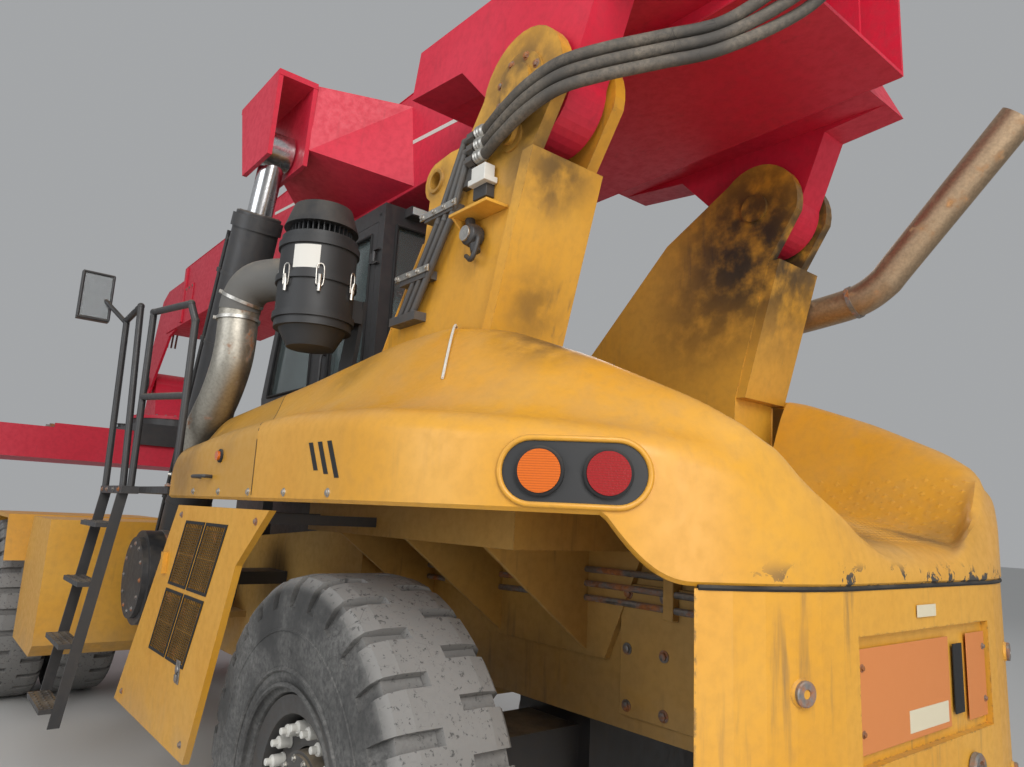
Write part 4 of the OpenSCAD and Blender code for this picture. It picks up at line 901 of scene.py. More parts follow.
@dataclass
class Hood(Assembly):
    """Rear hood: one strip round three sides with raised wings, and what is on it.

    The table's rows hold a place along the machine, the crest's distance from the middle,
    and the heights of crest, shoulder and middle.
    """

    half: float = 1.70
    tail: float = -1.55
    corner: float = 1.20
    front: float = 1.65
    low_z: float = 1.885
    seam_z: float = 1.705
    cheek: float = -1.38
    edge_run: float = 0.15
    arc_steps: int = 20
    flat_steps: int = 3
    rounding: float = 0.09
    skin: float = 0.04
    inner_y: float = 1.10
    inner_x: float = -0.41
    table: tuple[Point, ...] = (
        (-1.55, 0.6, 1.75, 1.75, 1.812), (-1.5, 0.8, 2.05, 2.05, 1.825), (-1.45, 0.88, 2.139, 2.11, 1.838),
        (-1.28, 0.95, 2.254, 2.14, 1.875), (-0.9, 1.04, 2.43, 2.175, 1.955), (-0.5, 1.075, 2.58, 2.21, 2.025),
        (-0.15, 1.085, 2.655, 2.23, 2.065), (0.2, 1.11, 2.64, 2.245, 2.08), (0.9, 1.2, 2.52, 2.22, 2.08),
        (1.65, 1.45, 2.33, 2.16, 2.08))
    lamp_angles: tuple[float, float] = (38.5, 47.7)
    lamp_z: float = 2.0
    recess_run: float = 0.118
    recess_radius: float = 0.092
    joint_x: float = 0.42
    joint_slant: float = 1.8
    joint_width: float = 0.007

    def at(self, x: Array, column: int) -> Array:
        """One column of the table of heights, smoothed over 60 mm each way."""
        table = np.array(self.table)
        look = [np.interp(x + d, table[:, 0], table[:, column]) for d in (-0.06, 0.0, 0.06)]
        return (look[0] + 2 * look[1] + look[2]) / 4

    def plan_half(self, x: Array) -> Array:
        """Half width in plan: full width, then a quarter circle round the tail."""
        d = np.maximum(self.tail + self.corner - x, 0)
        return self.half - self.corner + np.sqrt(np.maximum(self.corner ** 2 - d * d, 0))

    def drop(self, d: Array) -> Array:
        """How far the rounded edge lies below the flat at d in from the edge."""
        into = np.clip(self.rounding - d, 0, self.rounding)
        return self.rounding - np.sqrt(np.maximum(self.rounding ** 2 - into ** 2, 0))

    def top(self, x: Array, y: Array) -> Array:
        """Height of the skin over a place: shoulder, up to the crest, down to the middle."""
        w = self.plan_half(x) - self.rounding
        ay = np.abs(y)
        crest_y = np.minimum(self.at(x, 1), w - 0.06)
        crest, shoulder, middle = (self.at(x, column) for column in (2, 3, 4))
        outside = shoulder + (crest - shoulder) * ease(np.clip((w - ay) / (w - crest_y), 0, 1))
        inside = crest + (middle - crest) * ease(np.clip((crest_y - ay) / 0.38, 0, 1))
        return np.where(ay > crest_y, outside, inside)

    def edge(self, x: float) -> float:
        """Height of the lower edge, which dips behind the rear wheels."""
        u = np.clip((x - self.cheek) / self.edge_run, 0, 1)
        return float(self.seam_z + (self.low_z - self.seam_z) * (1 - math.cos(math.pi / 2 * u)))

    def plan_rows(self) -> list[tuple[Array, Array, float]]:
        """Outer and inner plan points of each row and its distance from the front end."""
        ahead = self.rounding * (1 - np.cos(np.linspace(0, math.pi / 2, 9)))
        rows = [(np.array([self.front - d, self.half]), np.array([self.front - d, self.inner_y]), float(d))
                for d in np.concatenate([ahead, np.arange(0.13, 1.78, 0.055), [1.78]])]
        last = self.arc_steps + self.flat_steps
        centre = np.array([self.tail + self.corner, self.half - self.corner])
        for u in np.concatenate([np.arange(0, self.arc_steps, 0.2), np.arange(self.arc_steps, last + 0.01, 0.25)]):
            a = math.radians(90 + 90 * u / self.arc_steps)
            outer = centre + self.corner * np.array([math.cos(a), math.sin(a)])
            if u > self.arc_steps:
                outer = np.array([self.tail, centre[1] * (last - u) / self.flat_steps])
            rows.append((outer, np.array([self.inner_x, self.inner_y * (1 - u / last)]), 9.0))
        return rows

    def section(self, outer: Array, inner: Array, ahead: float) -> Array:
        """The loop of one row: lower edge, wall, rounding, crest, middle and back underneath."""
        run = inner - outer
        length = float(np.linalg.norm(run))
        lo, hi = 0.0, 1.0
        for _ in range(16):
            mid = (lo + hi) / 2
            p = outer + run * mid
            lo, hi = (mid, hi) if abs(p[1]) > self.at(p[0], 1) else (lo, mid)
        span = length - self.rounding
        crest = max(0.3 * span, min(0.85 * span, lo * length - self.rounding))
        arc = self.rounding * (1 - np.cos(np.linspace(0, math.pi / 2, 9)))
        d = np.concatenate([arc, self.rounding + crest * np.arange(1, 15) / 14,
                            self.rounding + crest + (span - crest) * np.linspace(0.03, 1, 26)])

        def skin(inward: Array, below: float) -> Array:
            """Points of the skin at distances in from the edge."""
            q = outer + run * inward[:, None] / length
            z = self.top(q[:, 0], q[:, 1]) - self.drop(inward) - self.drop(np.array(ahead)) - below
            return np.column_stack([q, z])

        above, below = skin(d, 0.0), skin(np.maximum(d[::-2], self.skin), self.skin)
        low = self.edge(float(outer[0]))
        wall = [[*outer, low + 0.012], [*outer, (low + above[0, 2]) / 2]]
        lip, foot = ([*(outer + run * inward / length), low] for inward in (0.012, self.skin))
        return np.vstack([[lip], wall, above, below, [foot]])

    def build(self) -> None:
        """Builds the skin, and on it the lamp recess, the seams, the stripes and the small parts."""
        loops = [self.section(*row) for row in self.plan_rows()]
        points = np.array(loops + [loop * (1, -1, 1) for loop in loops[-2::-1]]) + (REAR_AXLE_X, 0, 0)
        rows, cols = points.shape[:2]
        shape = Shape().add(points, grid_faces(rows, cols, True) + end_faces(rows, cols))
        self.one(shape, "hood_skin", "hood yellow_paint", smooth=40, replaces="rear_hood")
        self.lead()
        self.tread_patch()
        self.lamp_recess()
        self.seams()
        self.stripes()
        self.fittings()

    def on_corner(self, angle: float, z: float, out: float) -> Array:
        """A point off the rear corner's wall, angle in degrees from the side towards the back."""
        a = math.radians(90 + angle)
        r = self.corner + out
        return rel(self.tail + self.corner + r * math.cos(a), self.half - self.corner + r * math.sin(a), z)

    def lamp_recess(self) -> None:
        """A black stadium with a raised rim that holds the two lamps of each rear corner."""
        middle = sum(self.lamp_angles) / 2
        arc = np.linspace(-math.pi / 2, math.pi / 2, 21)
        run = np.linspace(self.recess_run, -self.recess_run, 14)[1:-1]
        bow = self.recess_run + self.recess_radius * np.cos(arc)
        along = np.concatenate([bow, run, -bow, -run])
        flat = np.ones(len(run))
        up = self.recess_radius * np.concatenate([np.sin(arc), flat, -np.sin(arc), -flat])

        def ring(scale: float, out: float) -> list[Array]:
            """The stadium's outline on the corner's wall, scaled, at a height off it."""
            return [self.on_corner(middle + math.degrees(s * scale / self.corner), self.lamp_z + h * scale, out)
                    for s, h in zip(along, up)]

        plate = Shape().grid(np.array([ring(k, 0.0025) for k in (1.0, 0.6, 0.2, 0.001)]), True)
        path = ring(1.03, 0.003)
        rim, bezels = Shape().tube(np.array(path + path[:1]), 0.009, 10, False), Shape()
        for angle in self.lamp_angles:
            foot = self.on_corner(angle, self.lamp_z, 0.0)
            bezels.hoop([(0.001, 0.071), (0.014, 0.071), (0.0165, 0.067), (0.0165, 0.0625), (0.001, 0.0625)],
                        foot, self.on_corner(angle, self.lamp_z, 1.0) - foot, 40)
        self.both(plate, "lamp_recess", "cleaner black_paint")
        self.both(rim, "lamp_rim", "hood yellow_paint", smooth=60)
        self.both(bezels, "lamp_bezels", "gasket black_paint")

    def seams(self) -> None:
        """Dark joints between the hood's mouldings: one across each wing, one under the tail."""
        d = np.linspace(-0.24, 0.40, 32)
        inward = np.maximum(d, 0.0)
        lift = np.clip(inward / self.rounding, 0, 1)
        out, edges = 0.0012, []
        for side in (-0.5, 0.5):
            x = self.joint_x + side * self.joint_width + self.joint_slant * inward
            y = self.plan_half(x) - inward
            wall_top = self.top(x, self.plan_half(x)) - self.rounding
            z = np.where(d < 0, wall_top + d, self.top(x, y) - self.drop(inward))
            edges.append(np.column_stack([x, y + out * (1 - lift), z + out * lift]))
        self.both(Shape().grid(np.array(edges) + (REAR_AXLE_X, 0, 0)), "hood_joints", "gasket black_paint")
        z = self.seam_z - 0.003
        lip = [self.on_corner(a, z, -0.006) for a in np.linspace(60, 90, 26)]
        lip += [rel(self.tail + 0.006, y, z) for y in np.linspace(0.46, -0.46, 24)]
        lip += [p * (1, -1, 1) for p in lip[25::-1]]
        self.one(Shape().tube(np.array(lip), 0.008, 8), "hood_seal", "gasket black_paint")

    def lead(self) -> None:
        """A thin white lead that lies over the left crest and hangs down the wing."""
        radius = 0.0055
        share = np.linspace(0, 1, 16)
        x, y = -0.10 - 0.40 * share, 1.075 + 0.32 * share
        path = spline(np.column_stack([x + REAR_AXLE_X, y, self.top(x, y) + 2 * radius]), 0.012)
        wire = self.one(Shape().tube(path, radius, 10), "hood_lead", "white tube_steel", smooth=60)

    def tread_patch(self) -> None:
        """Raised lozenges moulded into the tail's middle, so that a foot doesn't slip there."""
        patch, pitch = Shape(), 0.042
        across, along = np.array((0, 0.02, 0, -0.02, 0)), np.array((-0.009, 0, 0.009, 0, 0))
        lift = np.array((0, 0, 0, 0, 0.004))
        for row, x in enumerate(np.arange(-1.40, -0.62, pitch)):
            for y in np.arange(-0.80 + pitch / 2 * (row % 2), 0.80, pitch):
                a, b = x + across, y + along
                patch.add(np.column_stack([a + REAR_AXLE_X, b, self.top(a, b) + lift]), PYRAMID_FACES)
        self.one(patch, "hood_tread_patch", "hood yellow_paint", smooth=5)

    def stripes(self) -> None:
        """Three short slanted stripes on each wing's side."""
        marks, top, slant, width = Shape(), 2.10, 0.62, 0.034
        for i in range(3):
            x, low = REAR_AXLE_X - 0.205 - 0.085 * i, 1.998 - 0.014 * i
            shift = slant * (top - low)
            marks.prism([(x, low), (x + width, low), (x + width + shift, top), (x + shift, top)], 1,
                        self.half + CLEAR, self.half + 0.0014)
        self.both(marks, "side_stripes", "gasket black_paint")

    def fittings(self) -> None:
        """Bolt heads along the wall, a grab handle and the marker lamps' bases."""
        places = [rel(x, self.half, self.low_z + 0.035) for x in np.arange(-0.30, 1.6, 0.38)]
        inner, outer, z = self.half - 0.002, self.half + 0.042, 1.99
        handle = Shape().pipe([(1.12, inner, z), (1.12, outer, z), (0.96, outer, z), (0.96, inner, z)], 0.012,
                              0.009, 12)
        base = Shape().lathe([(CLEAR, 0.032), (0.008, 0.032), (0.011, 0.027)],
                             rel(0.86, self.half, 2.085), LEFT, 32)
        self.both(Shape().bolts(places, LEFT, 0.011, 0.009), "hood_bolts", "zinc black_paint")
        self.both(handle, "hood_handles", "black black_paint")
        self.both(base, "marker_base", "gasket black_paint")


@dataclass
class AirSystem(Assembly):
    """Intake pipe, air cleaner fittings and exhaust."""

    intake: tuple[Point, ...] = (
        (1.0653, 1.33, 3.09), (1.125, 1.33, 3.09), (1.25, 1.385, 3.11), (1.36, 1.465, 3.085), (1.43, 1.5, 3.0),
        (1.45, 1.505, 2.9), (1.45, 1.505, 2.76), (1.48, 1.508, 2.62), (1.6, 1.51, 2.46), (1.78, 1.515, 2.3),
        (1.9, 1.51, 2.16), (1.95, 1.505, 2.06), (1.96, 1.5, 2.0), (1.96, 1.5, 1.9453))
    exhaust: tuple[Point, ...] = (
        (0.06, -1.16, 3.06), (-0.04, -1.165, 3.085), (-0.26, -1.192, 3.11), (-0.56, -1.206, 3.14),
        (-0.76, -1.21, 3.17), (-0.9, -1.212, 3.24), (-1.01, -1.212, 3.35), (-1.6, -1.214, 3.96))
    exhaust_radius: float = 0.0895
    exhaust_bore: float = 0.084
    elbow_end_z: float = 2.93
    cleaner: Point = (0.83, 1.33, 0.0)
    can_radius: float = 0.193
    fins: int = 36

    def build(self) -> None:
        """Builds the pipes and dresses the cleaner."""
        path = spline([rel(*p) for p in self.intake], 0.02)
        cut = int(np.argmin(np.abs(path[:, 2] - self.elbow_end_z) + (path[:, 2] > 3.2)))
        swell = 0.112 + 0.006 * np.sin(np.linspace(0, math.pi, cut + 1)) ** 2
        elbow = Shape().tube(path[:cut + 1], swell, 28)
        pipe, bands = Shape().tube(path[cut - 1:], 0.1085, 28), Shape()
        for at in (2, cut - 4, cut + 3, len(path) - 6):
            run = path[at + 1] - path[at]
            bands.band(path[at], run, 0.009, 0.112, 0.1185, 32)
            out = np.array((0.3, 1.0, 0.1)) if at > 4 else np.array((0.0, 0.6, 0.8))
            out -= run * np.dot(out, run) / np.dot(run, run)
            bands.lathe([(0.110, 0.012), (0.134, 0.012)], path[at], out, 8)
        self.one(elbow, "intake_elbow", "elbow pipe_steel")
        self.one(pipe, "intake_lower", "pipe pipe_steel", replaces="intake_pipe")
        self.one(bands, "intake_bands", "zinc pipe_steel")
        self.tail_pipe()
        self.can()

    def tail_pipe(self) -> None:
        """The exhaust with its open end and its bracket on the tower."""
        path = spline([rel(*p) for p in self.exhaust], 0.025)
        a, b = frames_along(path)
        turn = np.linspace(0, 2 * math.pi, 28, endpoint=False)[:, None]
        outer, bore, shut = self.exhaust_radius, self.exhaust_bore, 0.001

        def rings(*places: tuple[int, float]) -> Array:
            """Rings round the pipe, each by its place on the path and its radius."""
            return np.array([path[at] + r * (np.cos(turn) * a[at] + np.sin(turn) * b[at])
                             for at, r in places])

        tail = Shape().tube(path, outer, 28, False)
        tail.grid(rings((-1, outer), (-1, bore), (-6, bore), (-12, bore), (-12, shut)), True)
        tail.grid(rings((0, shut), (0, outer)), True)
        tail.box(rel(-0.18, -1.10, 3.01), rel(-0.06, -1.0603, 3.10))
        self.one(tail, "exhaust_tail", "exhaust exhaust_steel", smooth=40, replaces="exhaust_pipe")
        clamp = Shape()
        for at in (8, int(len(path) * 0.42)):
            clamp.band(path[at], path[at + 1] - path[at], 0.012, 0.089, 0.096, 32)
        self.one(clamp, "exhaust_clamps", "steel exhaust_steel")

    def can(self) -> None:
        """Latches, vent fins and plate of the air cleaner."""
        latches, fins, centre = Shape(), Shape(), rel(*self.cleaner)
        for turn in np.radians((20, 110, 160, 215, 300)):
            out = np.array((math.cos(turn), math.sin(turn), 0.0))
            side = np.array((-out[1], out[0], 0.0))
            foot = centre + out * (self.can_radius + 0.012) + (0, 0, 2.965)
            loop = [foot + side * s + (0, 0, h) for s, h in (
                (-0.016, -0.02), (-0.016, 0.075), (0.016, 0.075), (0.016, -0.02), (-0.016, -0.02))]
            latches.tube(spline(loop, 0.006), 0.0035, 8)
            latches.tube(np.array([foot - (0, 0, 0.055), foot, foot + out * 0.008 + (0, 0, 0.03)]), 0.009, 8)
        for cos, sin in around(self.fins, 1.0):
            out, side = np.array((cos, sin)), np.array((-sin, cos))
            fins.prism([centre[:2] + out * r + side * s for r, s in (
                (0.095, -0.003), (0.158, -0.003), (0.158, 0.003), (0.095, 0.003))], 2, 3.228, 3.288)
        radius = self.can_radius + 0.0015
        rows = [[centre + (radius * math.cos(a), radius * math.sin(a), z) for z in (3.03, 3.15)]
                for a in np.radians(np.linspace(158, 118, 13))]
        plate = Shape().grid(np.array(rows))
        self.one(latches, "cleaner_latches", "zinc cleaner_plastic")
        self.one(fins, "cleaner_fins", "cleaner cleaner_plastic")
        self.one(plate, "cleaner_plate", "white cleaner_plastic")


@dataclass
class Towers(Assembly):
    """Valve gear, clamps, covers and bolts on the two boom towers."""

    face: float = 1.06
    pivot: tuple[float, float] = (-0.44, 3.66)
    ear: tuple[float, float] = (0.17, 3.44)
    welds: tuple[tuple[Point, ...], ...] = (
        ((-0.302, 2.60), (-0.520, 3.325)), ((-0.285, 1.96), (-0.300, 2.57)),
        ((0.955, 1.96), (0.54, 2.69), (0.245, 3.14)))

    def build(self) -> None:
        """Builds the fittings of both towers, then those of the left one alone."""
        bolts, beads = Shape(), Shape()
        bolts.bolts([rel(self.pivot[0] + a, self.face + 0.013, self.pivot[1] + b)
                     for a, b in around(8, 0.126, 22.5)], LEFT, 0.013, 0.012)
        bolts.bolts([rel(x, self.face, z) for z in (2.30, 2.45) for x in (-0.16, 0.04)], LEFT, 0.016, 0.014)
        ring = Shape().hoop([(-0.002, 0.043), (0.010, 0.043), (0.012, 0.046), (0.012, 0.060), (0.0, 0.064)],
                            rel(self.ear[0], self.face, self.ear[1]), LEFT, 40)
        for points in self.welds:
            beads.pipe([(x, self.face, z) for x, z in points], 0.02, 0.0065, 8)
        self.both(bolts, "tower_bolts", "steel tube_steel")
        self.both(ring, "tower_ear_ring", "tower yellow_paint", smooth=50)
        self.both(beads, "tower_welds", "tower yellow_paint", smooth=60)
        self.valves()

    def valves(self) -> None:
        """Valve block with its cap, shelf, ball valve and clamps."""
        y = self.face
        near = y + 0.0005
        valves, shelf, clamps, caps = Shape(), Shape(), Shape(), Shape()
        valves.box(rel(-0.300, near, 3.205), rel(-0.205, y + 0.045, 3.262))
        caps.box(rel(-0.322, y + 0.004, 3.262), rel(-0.202, y + 0.074, 3.288))
        caps.box(rel(-0.310, y + 0.012, 3.288), rel(-0.214, y + 0.066, 3.345))
        shelf.box(rel(-0.400, near, 3.128), rel(-0.130, y + 0.115, 3.142))
        shelf.prism([(near, 3.030), (near, 3.128), (y + 0.105, 3.128)], 0,
                    REAR_AXLE_X - 0.150, REAR_AXLE_X - 0.138)
        clamps.bolts([rel(x, y + 0.085, 3.142) for x in (-0.36, -0.18)], UP, 0.012, 0.012)
        valves.lathe([(0, 0.030), (0.012, 0.046), (0.040, 0.052), (0.068, 0.046), (0.080, 0.030)],
                     rel(-0.215, near, 3.045), LEFT, 28)
        valves.lathe([(-0.085, 0.022), (0.085, 0.022)], rel(-0.215, y + 0.040, 3.045), (0.35, 0, 1), 20)
        clamps.lathe([(0, 0.034), (0.010, 0.034)], rel(-0.215, y + 0.078, 3.045), LEFT, 24)
        valves.pipe([(-0.16, y + 0.03, 2.97), (-0.245, y + 0.06, 2.93), (-0.27, y + 0.05, 3.02),
                     (-0.22, y + 0.04, 3.04)], 0.01, 0.011)
        for x, z in ((0.10, 2.955), (-0.09, 3.215)):
            clamps.box(rel(x - 0.02, y + 0.064, z - 0.002), rel(x + 0.27, y + 0.072, z + 0.030))
            clamps.bolts([rel(x + s, y + 0.072, z + 0.014) for s in (-0.008, 0.072, 0.152, 0.250)],
                         LEFT, 0.010, 0.012)
        for shape, name, look in (
                (valves, "tower_valves", "black tube_steel"), (shelf, "tower_shelf", "yellow yellow_paint"),
                (clamps, "tower_clamps", "zinc tube_steel"), (caps, "tower_caps", "white tube_steel")):
            self.one(shape, name, look, bevel=0.002)


@dataclass
class GrilleDoors(Assembly):
    """Mesh, edging and latches of the two hinged grille doors, with a black sheet behind each mesh as painted
    shade.
    """

    face: float = 1.69
    width: float = 0.27
    height: float = 0.30
    slant: float = 0.58
    pitch: float = 0.0125
    wire: float = 0.0045
    edge: float = 0.014

    def build(self) -> None:
        """Builds the left door's pieces and mirrors them."""
        shade_sheet, mesh, edging = Shape(), Shape(), Shape()
        for row in (0, 1):
            for column in (0, 1):
                self.window(shade_sheet, mesh, edging, 0.88 + column * 0.32 + (1 - row) * 0.205, 1.11 + row * 0.35)
        latch = Shape().box(rel(1.118, self.face + CLEAR, 1.020), rel(1.178, self.face + 0.005, 1.125))
        latch.lathe([(0.005, 0.020), (0.012, 0.018)], rel(1.148, self.face, 1.085), LEFT, 20)
        latch.box(rel(1.136, self.face + 0.005, 1.032), rel(1.160, self.face + 0.014, 1.062))
        places = [rel(x, self.face, z) for x, z in ((0.36, 1.80), (1.40, 1.80), (0.99, 0.79), (2.14, 0.79))]
        # the black sheets behind the meshes are painted shade for the dark space behind the doors
        self.both(shade_sheet, "grille_shade_sheet", "gasket black_paint", Body.GRILLE)
        self.both(mesh, "grille_mesh", "mesh tube_steel", Body.GRILLE)
        self.both(edging, "grille_edging", "gasket black_paint", Body.GRILLE)
        self.both(latch, "grille_latch", "steel tube_steel", Body.GRILLE, bevel=0.0015)
        self.both(Shape().bolts(places, LEFT, 0.011, 0.010), "grille_bolts", "steel tube_steel", Body.GRILLE)

    def window(self, shade_sheet: Shape, mesh: Shape, edging: Shape, x0: float, z0: float) -> None:
        """Adds one window's black sheet behind the mesh, which is painted shade, its wires and black edge.

        Args:
            shade_sheet: gathers the black sheets of painted shade.
            mesh: gathers the wires.
            edging: gathers the edges.
            x0: lower rear corner along the machine.
            z0: its height.
        """
        def strip(target: Shape, a: Point, b: Point, wide: Point, low: float, high: float) -> None:
            """A flat bar from a to b in the slanted window, widened by a vector, between two depths."""
            ends = (a, b, np.add(b, wide), np.add(a, wide))
            target.prism([(REAR_AXLE_X + x0 + x - self.slant * z, z0 + z) for x, z in ends], 1,
                         self.face + low, self.face + high)

        w, h, t, e = self.width, self.height, self.wire, self.edge
        # painted shade: a black sheet just behind the mesh stands in for the dark space behind the door
        strip(shade_sheet, (0, 0), (w, 0), (0, h), -0.0285, -0.0265)
        for k in np.arange(1, int(w / self.pitch)) * self.pitch:
            strip(mesh, (k, 0), (k, h), (t, 0), -0.001, 0.001)
        for k in np.arange(1, int(h / self.pitch)) * self.pitch:
            strip(mesh, (0, k), (w, k), (0, t), 0.001, 0.003)
        for a, b, wide in (((-e, -e), (w + e, -e), (0, e)), ((-e, h), (w + e, h), (0, e)),
                           ((-e, 0), (-e, h), (e, 0)), ((w, 0), (w, h), (e, 0))):
            strip(edging, a, b, wide, CLEAR, 0.004)


@dataclass
class Counterweight(Assembly):
    """Blank plates, a black plate that is painted shade for a slot, and plug rings on the counterweight."""

    recess: float = -1.53
    back: float = -1.55
    corner: float = 1.212

    def build(self) -> None:
        """Builds the plates in the rear recess and the small ones beside it."""
        x, back = REAR_AXLE_X + self.recess, REAR_AXLE_X + self.back
        signs = Shape().box((x - 0.003, -0.165, 1.215), (x - CLEAR, 0.505, 1.520))
        signs.box((x - 0.003, -0.505, 1.215), (x - CLEAR, -0.330, 1.520))
        rivets = [(x - 0.003, y, z) for z in (1.275, 1.465) for y in (0.485, -0.485)]
        plugs, sockets = Shape(), Shape()
        along, across = math.cos(math.radians(166)), math.sin(math.radians(166))
        for side in (1, -1):
            for z in (0.96, 1.42):
                foot = rel(-0.35 + self.corner * along, side * (0.5 + self.corner * across), z)
                plugs.lathe([(-0.008, 0.036), (0.001, 0.036), (0.004, 0.032), (0.004, 0.014), (-0.003, 0.012)],
                            foot, (along, side * across, 0), 32)
            sockets.lathe([(0, 0.055), (0.016, 0.055), (0.022, 0.048), (0.022, 0.030), (0.010, 0.028)],
                          (back, side * 0.30, 1.06), REARWARD, 32)
        for shape, name, look in (
                (plugs, "ballast_plugs", "steel tube_steel"),
                (Shape().box((x - 0.0045, -0.140, 1.235), (x - 0.003, 0.170, 1.305)), "ballast_cream_plates",
                 "cream yellow_paint"),
                # painted shade: a flat black plate on the face stands in for the shaded inside of a slot
                (Shape().box((x - 0.004, -0.285, 1.250), (x - CLEAR, -0.205, 1.490)), "ballast_slot_shade",
                 "gasket black_paint"),
                (Shape().bolts(rivets, REARWARD, 0.008, 0.008), "ballast_rivets", "steel black_paint"),
                (Shape().box((back - 0.002, -0.03, 1.600), (back - CLEAR, 0.12, 1.640)), "ballast_tag",
                 "cream yellow_paint"),
                (sockets, "ballast_sockets", "steel tube_steel")):
            self.one(shape, name, look)
        self.one(signs, "ballast_signs", "sign yellow_paint", bevel=0.001)


@dataclass
class Wheels(Assembly):
    """Hub caps, nuts, valves and sidewall ribs of all the tyres."""

    wheel_z: float = 0.81
    rear_y: float = 1.393
    front_y: float = 1.27
    pitch: float = 0.575

    def build(self) -> None:
        """Builds the rear pair, then the twin wheels."""
        outer = self.front_y + self.pitch
        self.hub(0.0, self.rear_y, (0.170, 0.066), (0.072, 0.192, 0.262), 0.130, "rear", Body.REAR)
        self.hub(WHEELBASE, outer, (0.040, 0.105), (0.150, 0.210, 0.236), -0.020, "front", Body.FRONT)
        for tag, x, rows, body in (("rear", 0.0, (self.rear_y,), Body.REAR),
                                   ("front", WHEELBASE, (self.front_y, outer), Body.FRONT)):
            ribs = Shape()
            for y in rows:
                for face in (LEFT, RIGHT):
                    for radius, out in ((0.415, 0.2425), (0.470, 0.2465), (0.610, 0.2500)):
                        ribs.hoop([(out - 0.004, radius - 0.009), (out + 0.0035, radius - 0.004),
                                   (out + 0.0035, radius + 0.004), (out - 0.004, radius + 0.009)],
                                  rel(x, y, self.wheel_z), face, 72)
            self.both(ribs, f"sidewall_ribs_{tag}", "tyre tyre_rubber", body)

    def hub(self, x: float, y: float, cover: Point, radii: Point, disc: float, tag: str, body: Body) -> None:
        """Adds one outer hub with its cap, nuts and valve.

        Args:
            x: axle from the rear axle.
            y: wheel centre.
            cover: height of the hub's face from the wheel centre and of the cap over it.
            radii: radius of the shaft's end, the hub and the ring of nuts.
            disc: height of the disc under the nuts.
            tag: name of the axle.
            body: the wheel.
        """
        (base, tall), (bore, rim, ring), z = cover, radii, self.wheel_z
        nuts, cap, foot = Shape(), Shape(), rel(x, y + base, z)
        for a, b in around(18, ring):
            nuts.lathe([(0, 0.027), (0.006, 0.027), (0.006, 0.0235), (0.046, 0.0235), (0.052, 0.019),
                        (0.052, 0.0135), (0.072, 0.0135), (0.074, 0.011)],
                       rel(x + a, y + disc + 0.001, z + b), LEFT, 12)
        if disc > 0.1:
            cap.hoop([(0.062, 0.194), (disc, 0.194), (disc, ring + 0.024), (disc - 0.012, ring + 0.029),
                      (0.062, ring + 0.029)], rel(x, y, z), LEFT, 64)
        cap.lathe([(0.0005, rim - 0.02), (0.010, rim - 0.022), (0.012, bore + 0.032),
                   (tall * 0.75, bore + 0.020), (tall * 0.95, bore - 0.01), (tall, 0.02)], foot, LEFT, 48)
        bolts = Shape().bolts([foot + (a, 0.010, b) for a, b in around(12, rim - 0.032, 15)],
                              LEFT, 0.009, 0.010)
        valve = Shape().pipe([(x + 0.298, y + 0.070, z), (x + 0.300, y + 0.11, z),
                              (x + 0.295, y + 0.15, z)], 0.01, 0.006, 8)
        self.both(nuts, f"wheel_nuts_{tag}", "white wheel_paint", body)
        self.both(cap, f"hub_cap_{tag}", "wheel wheel_paint", body)
        self.both(bolts, f"hub_bolts_{tag}", "zinc wheel_paint", body)
        self.both(valve, f"wheel_valve_{tag}", "steel tube_steel", body)


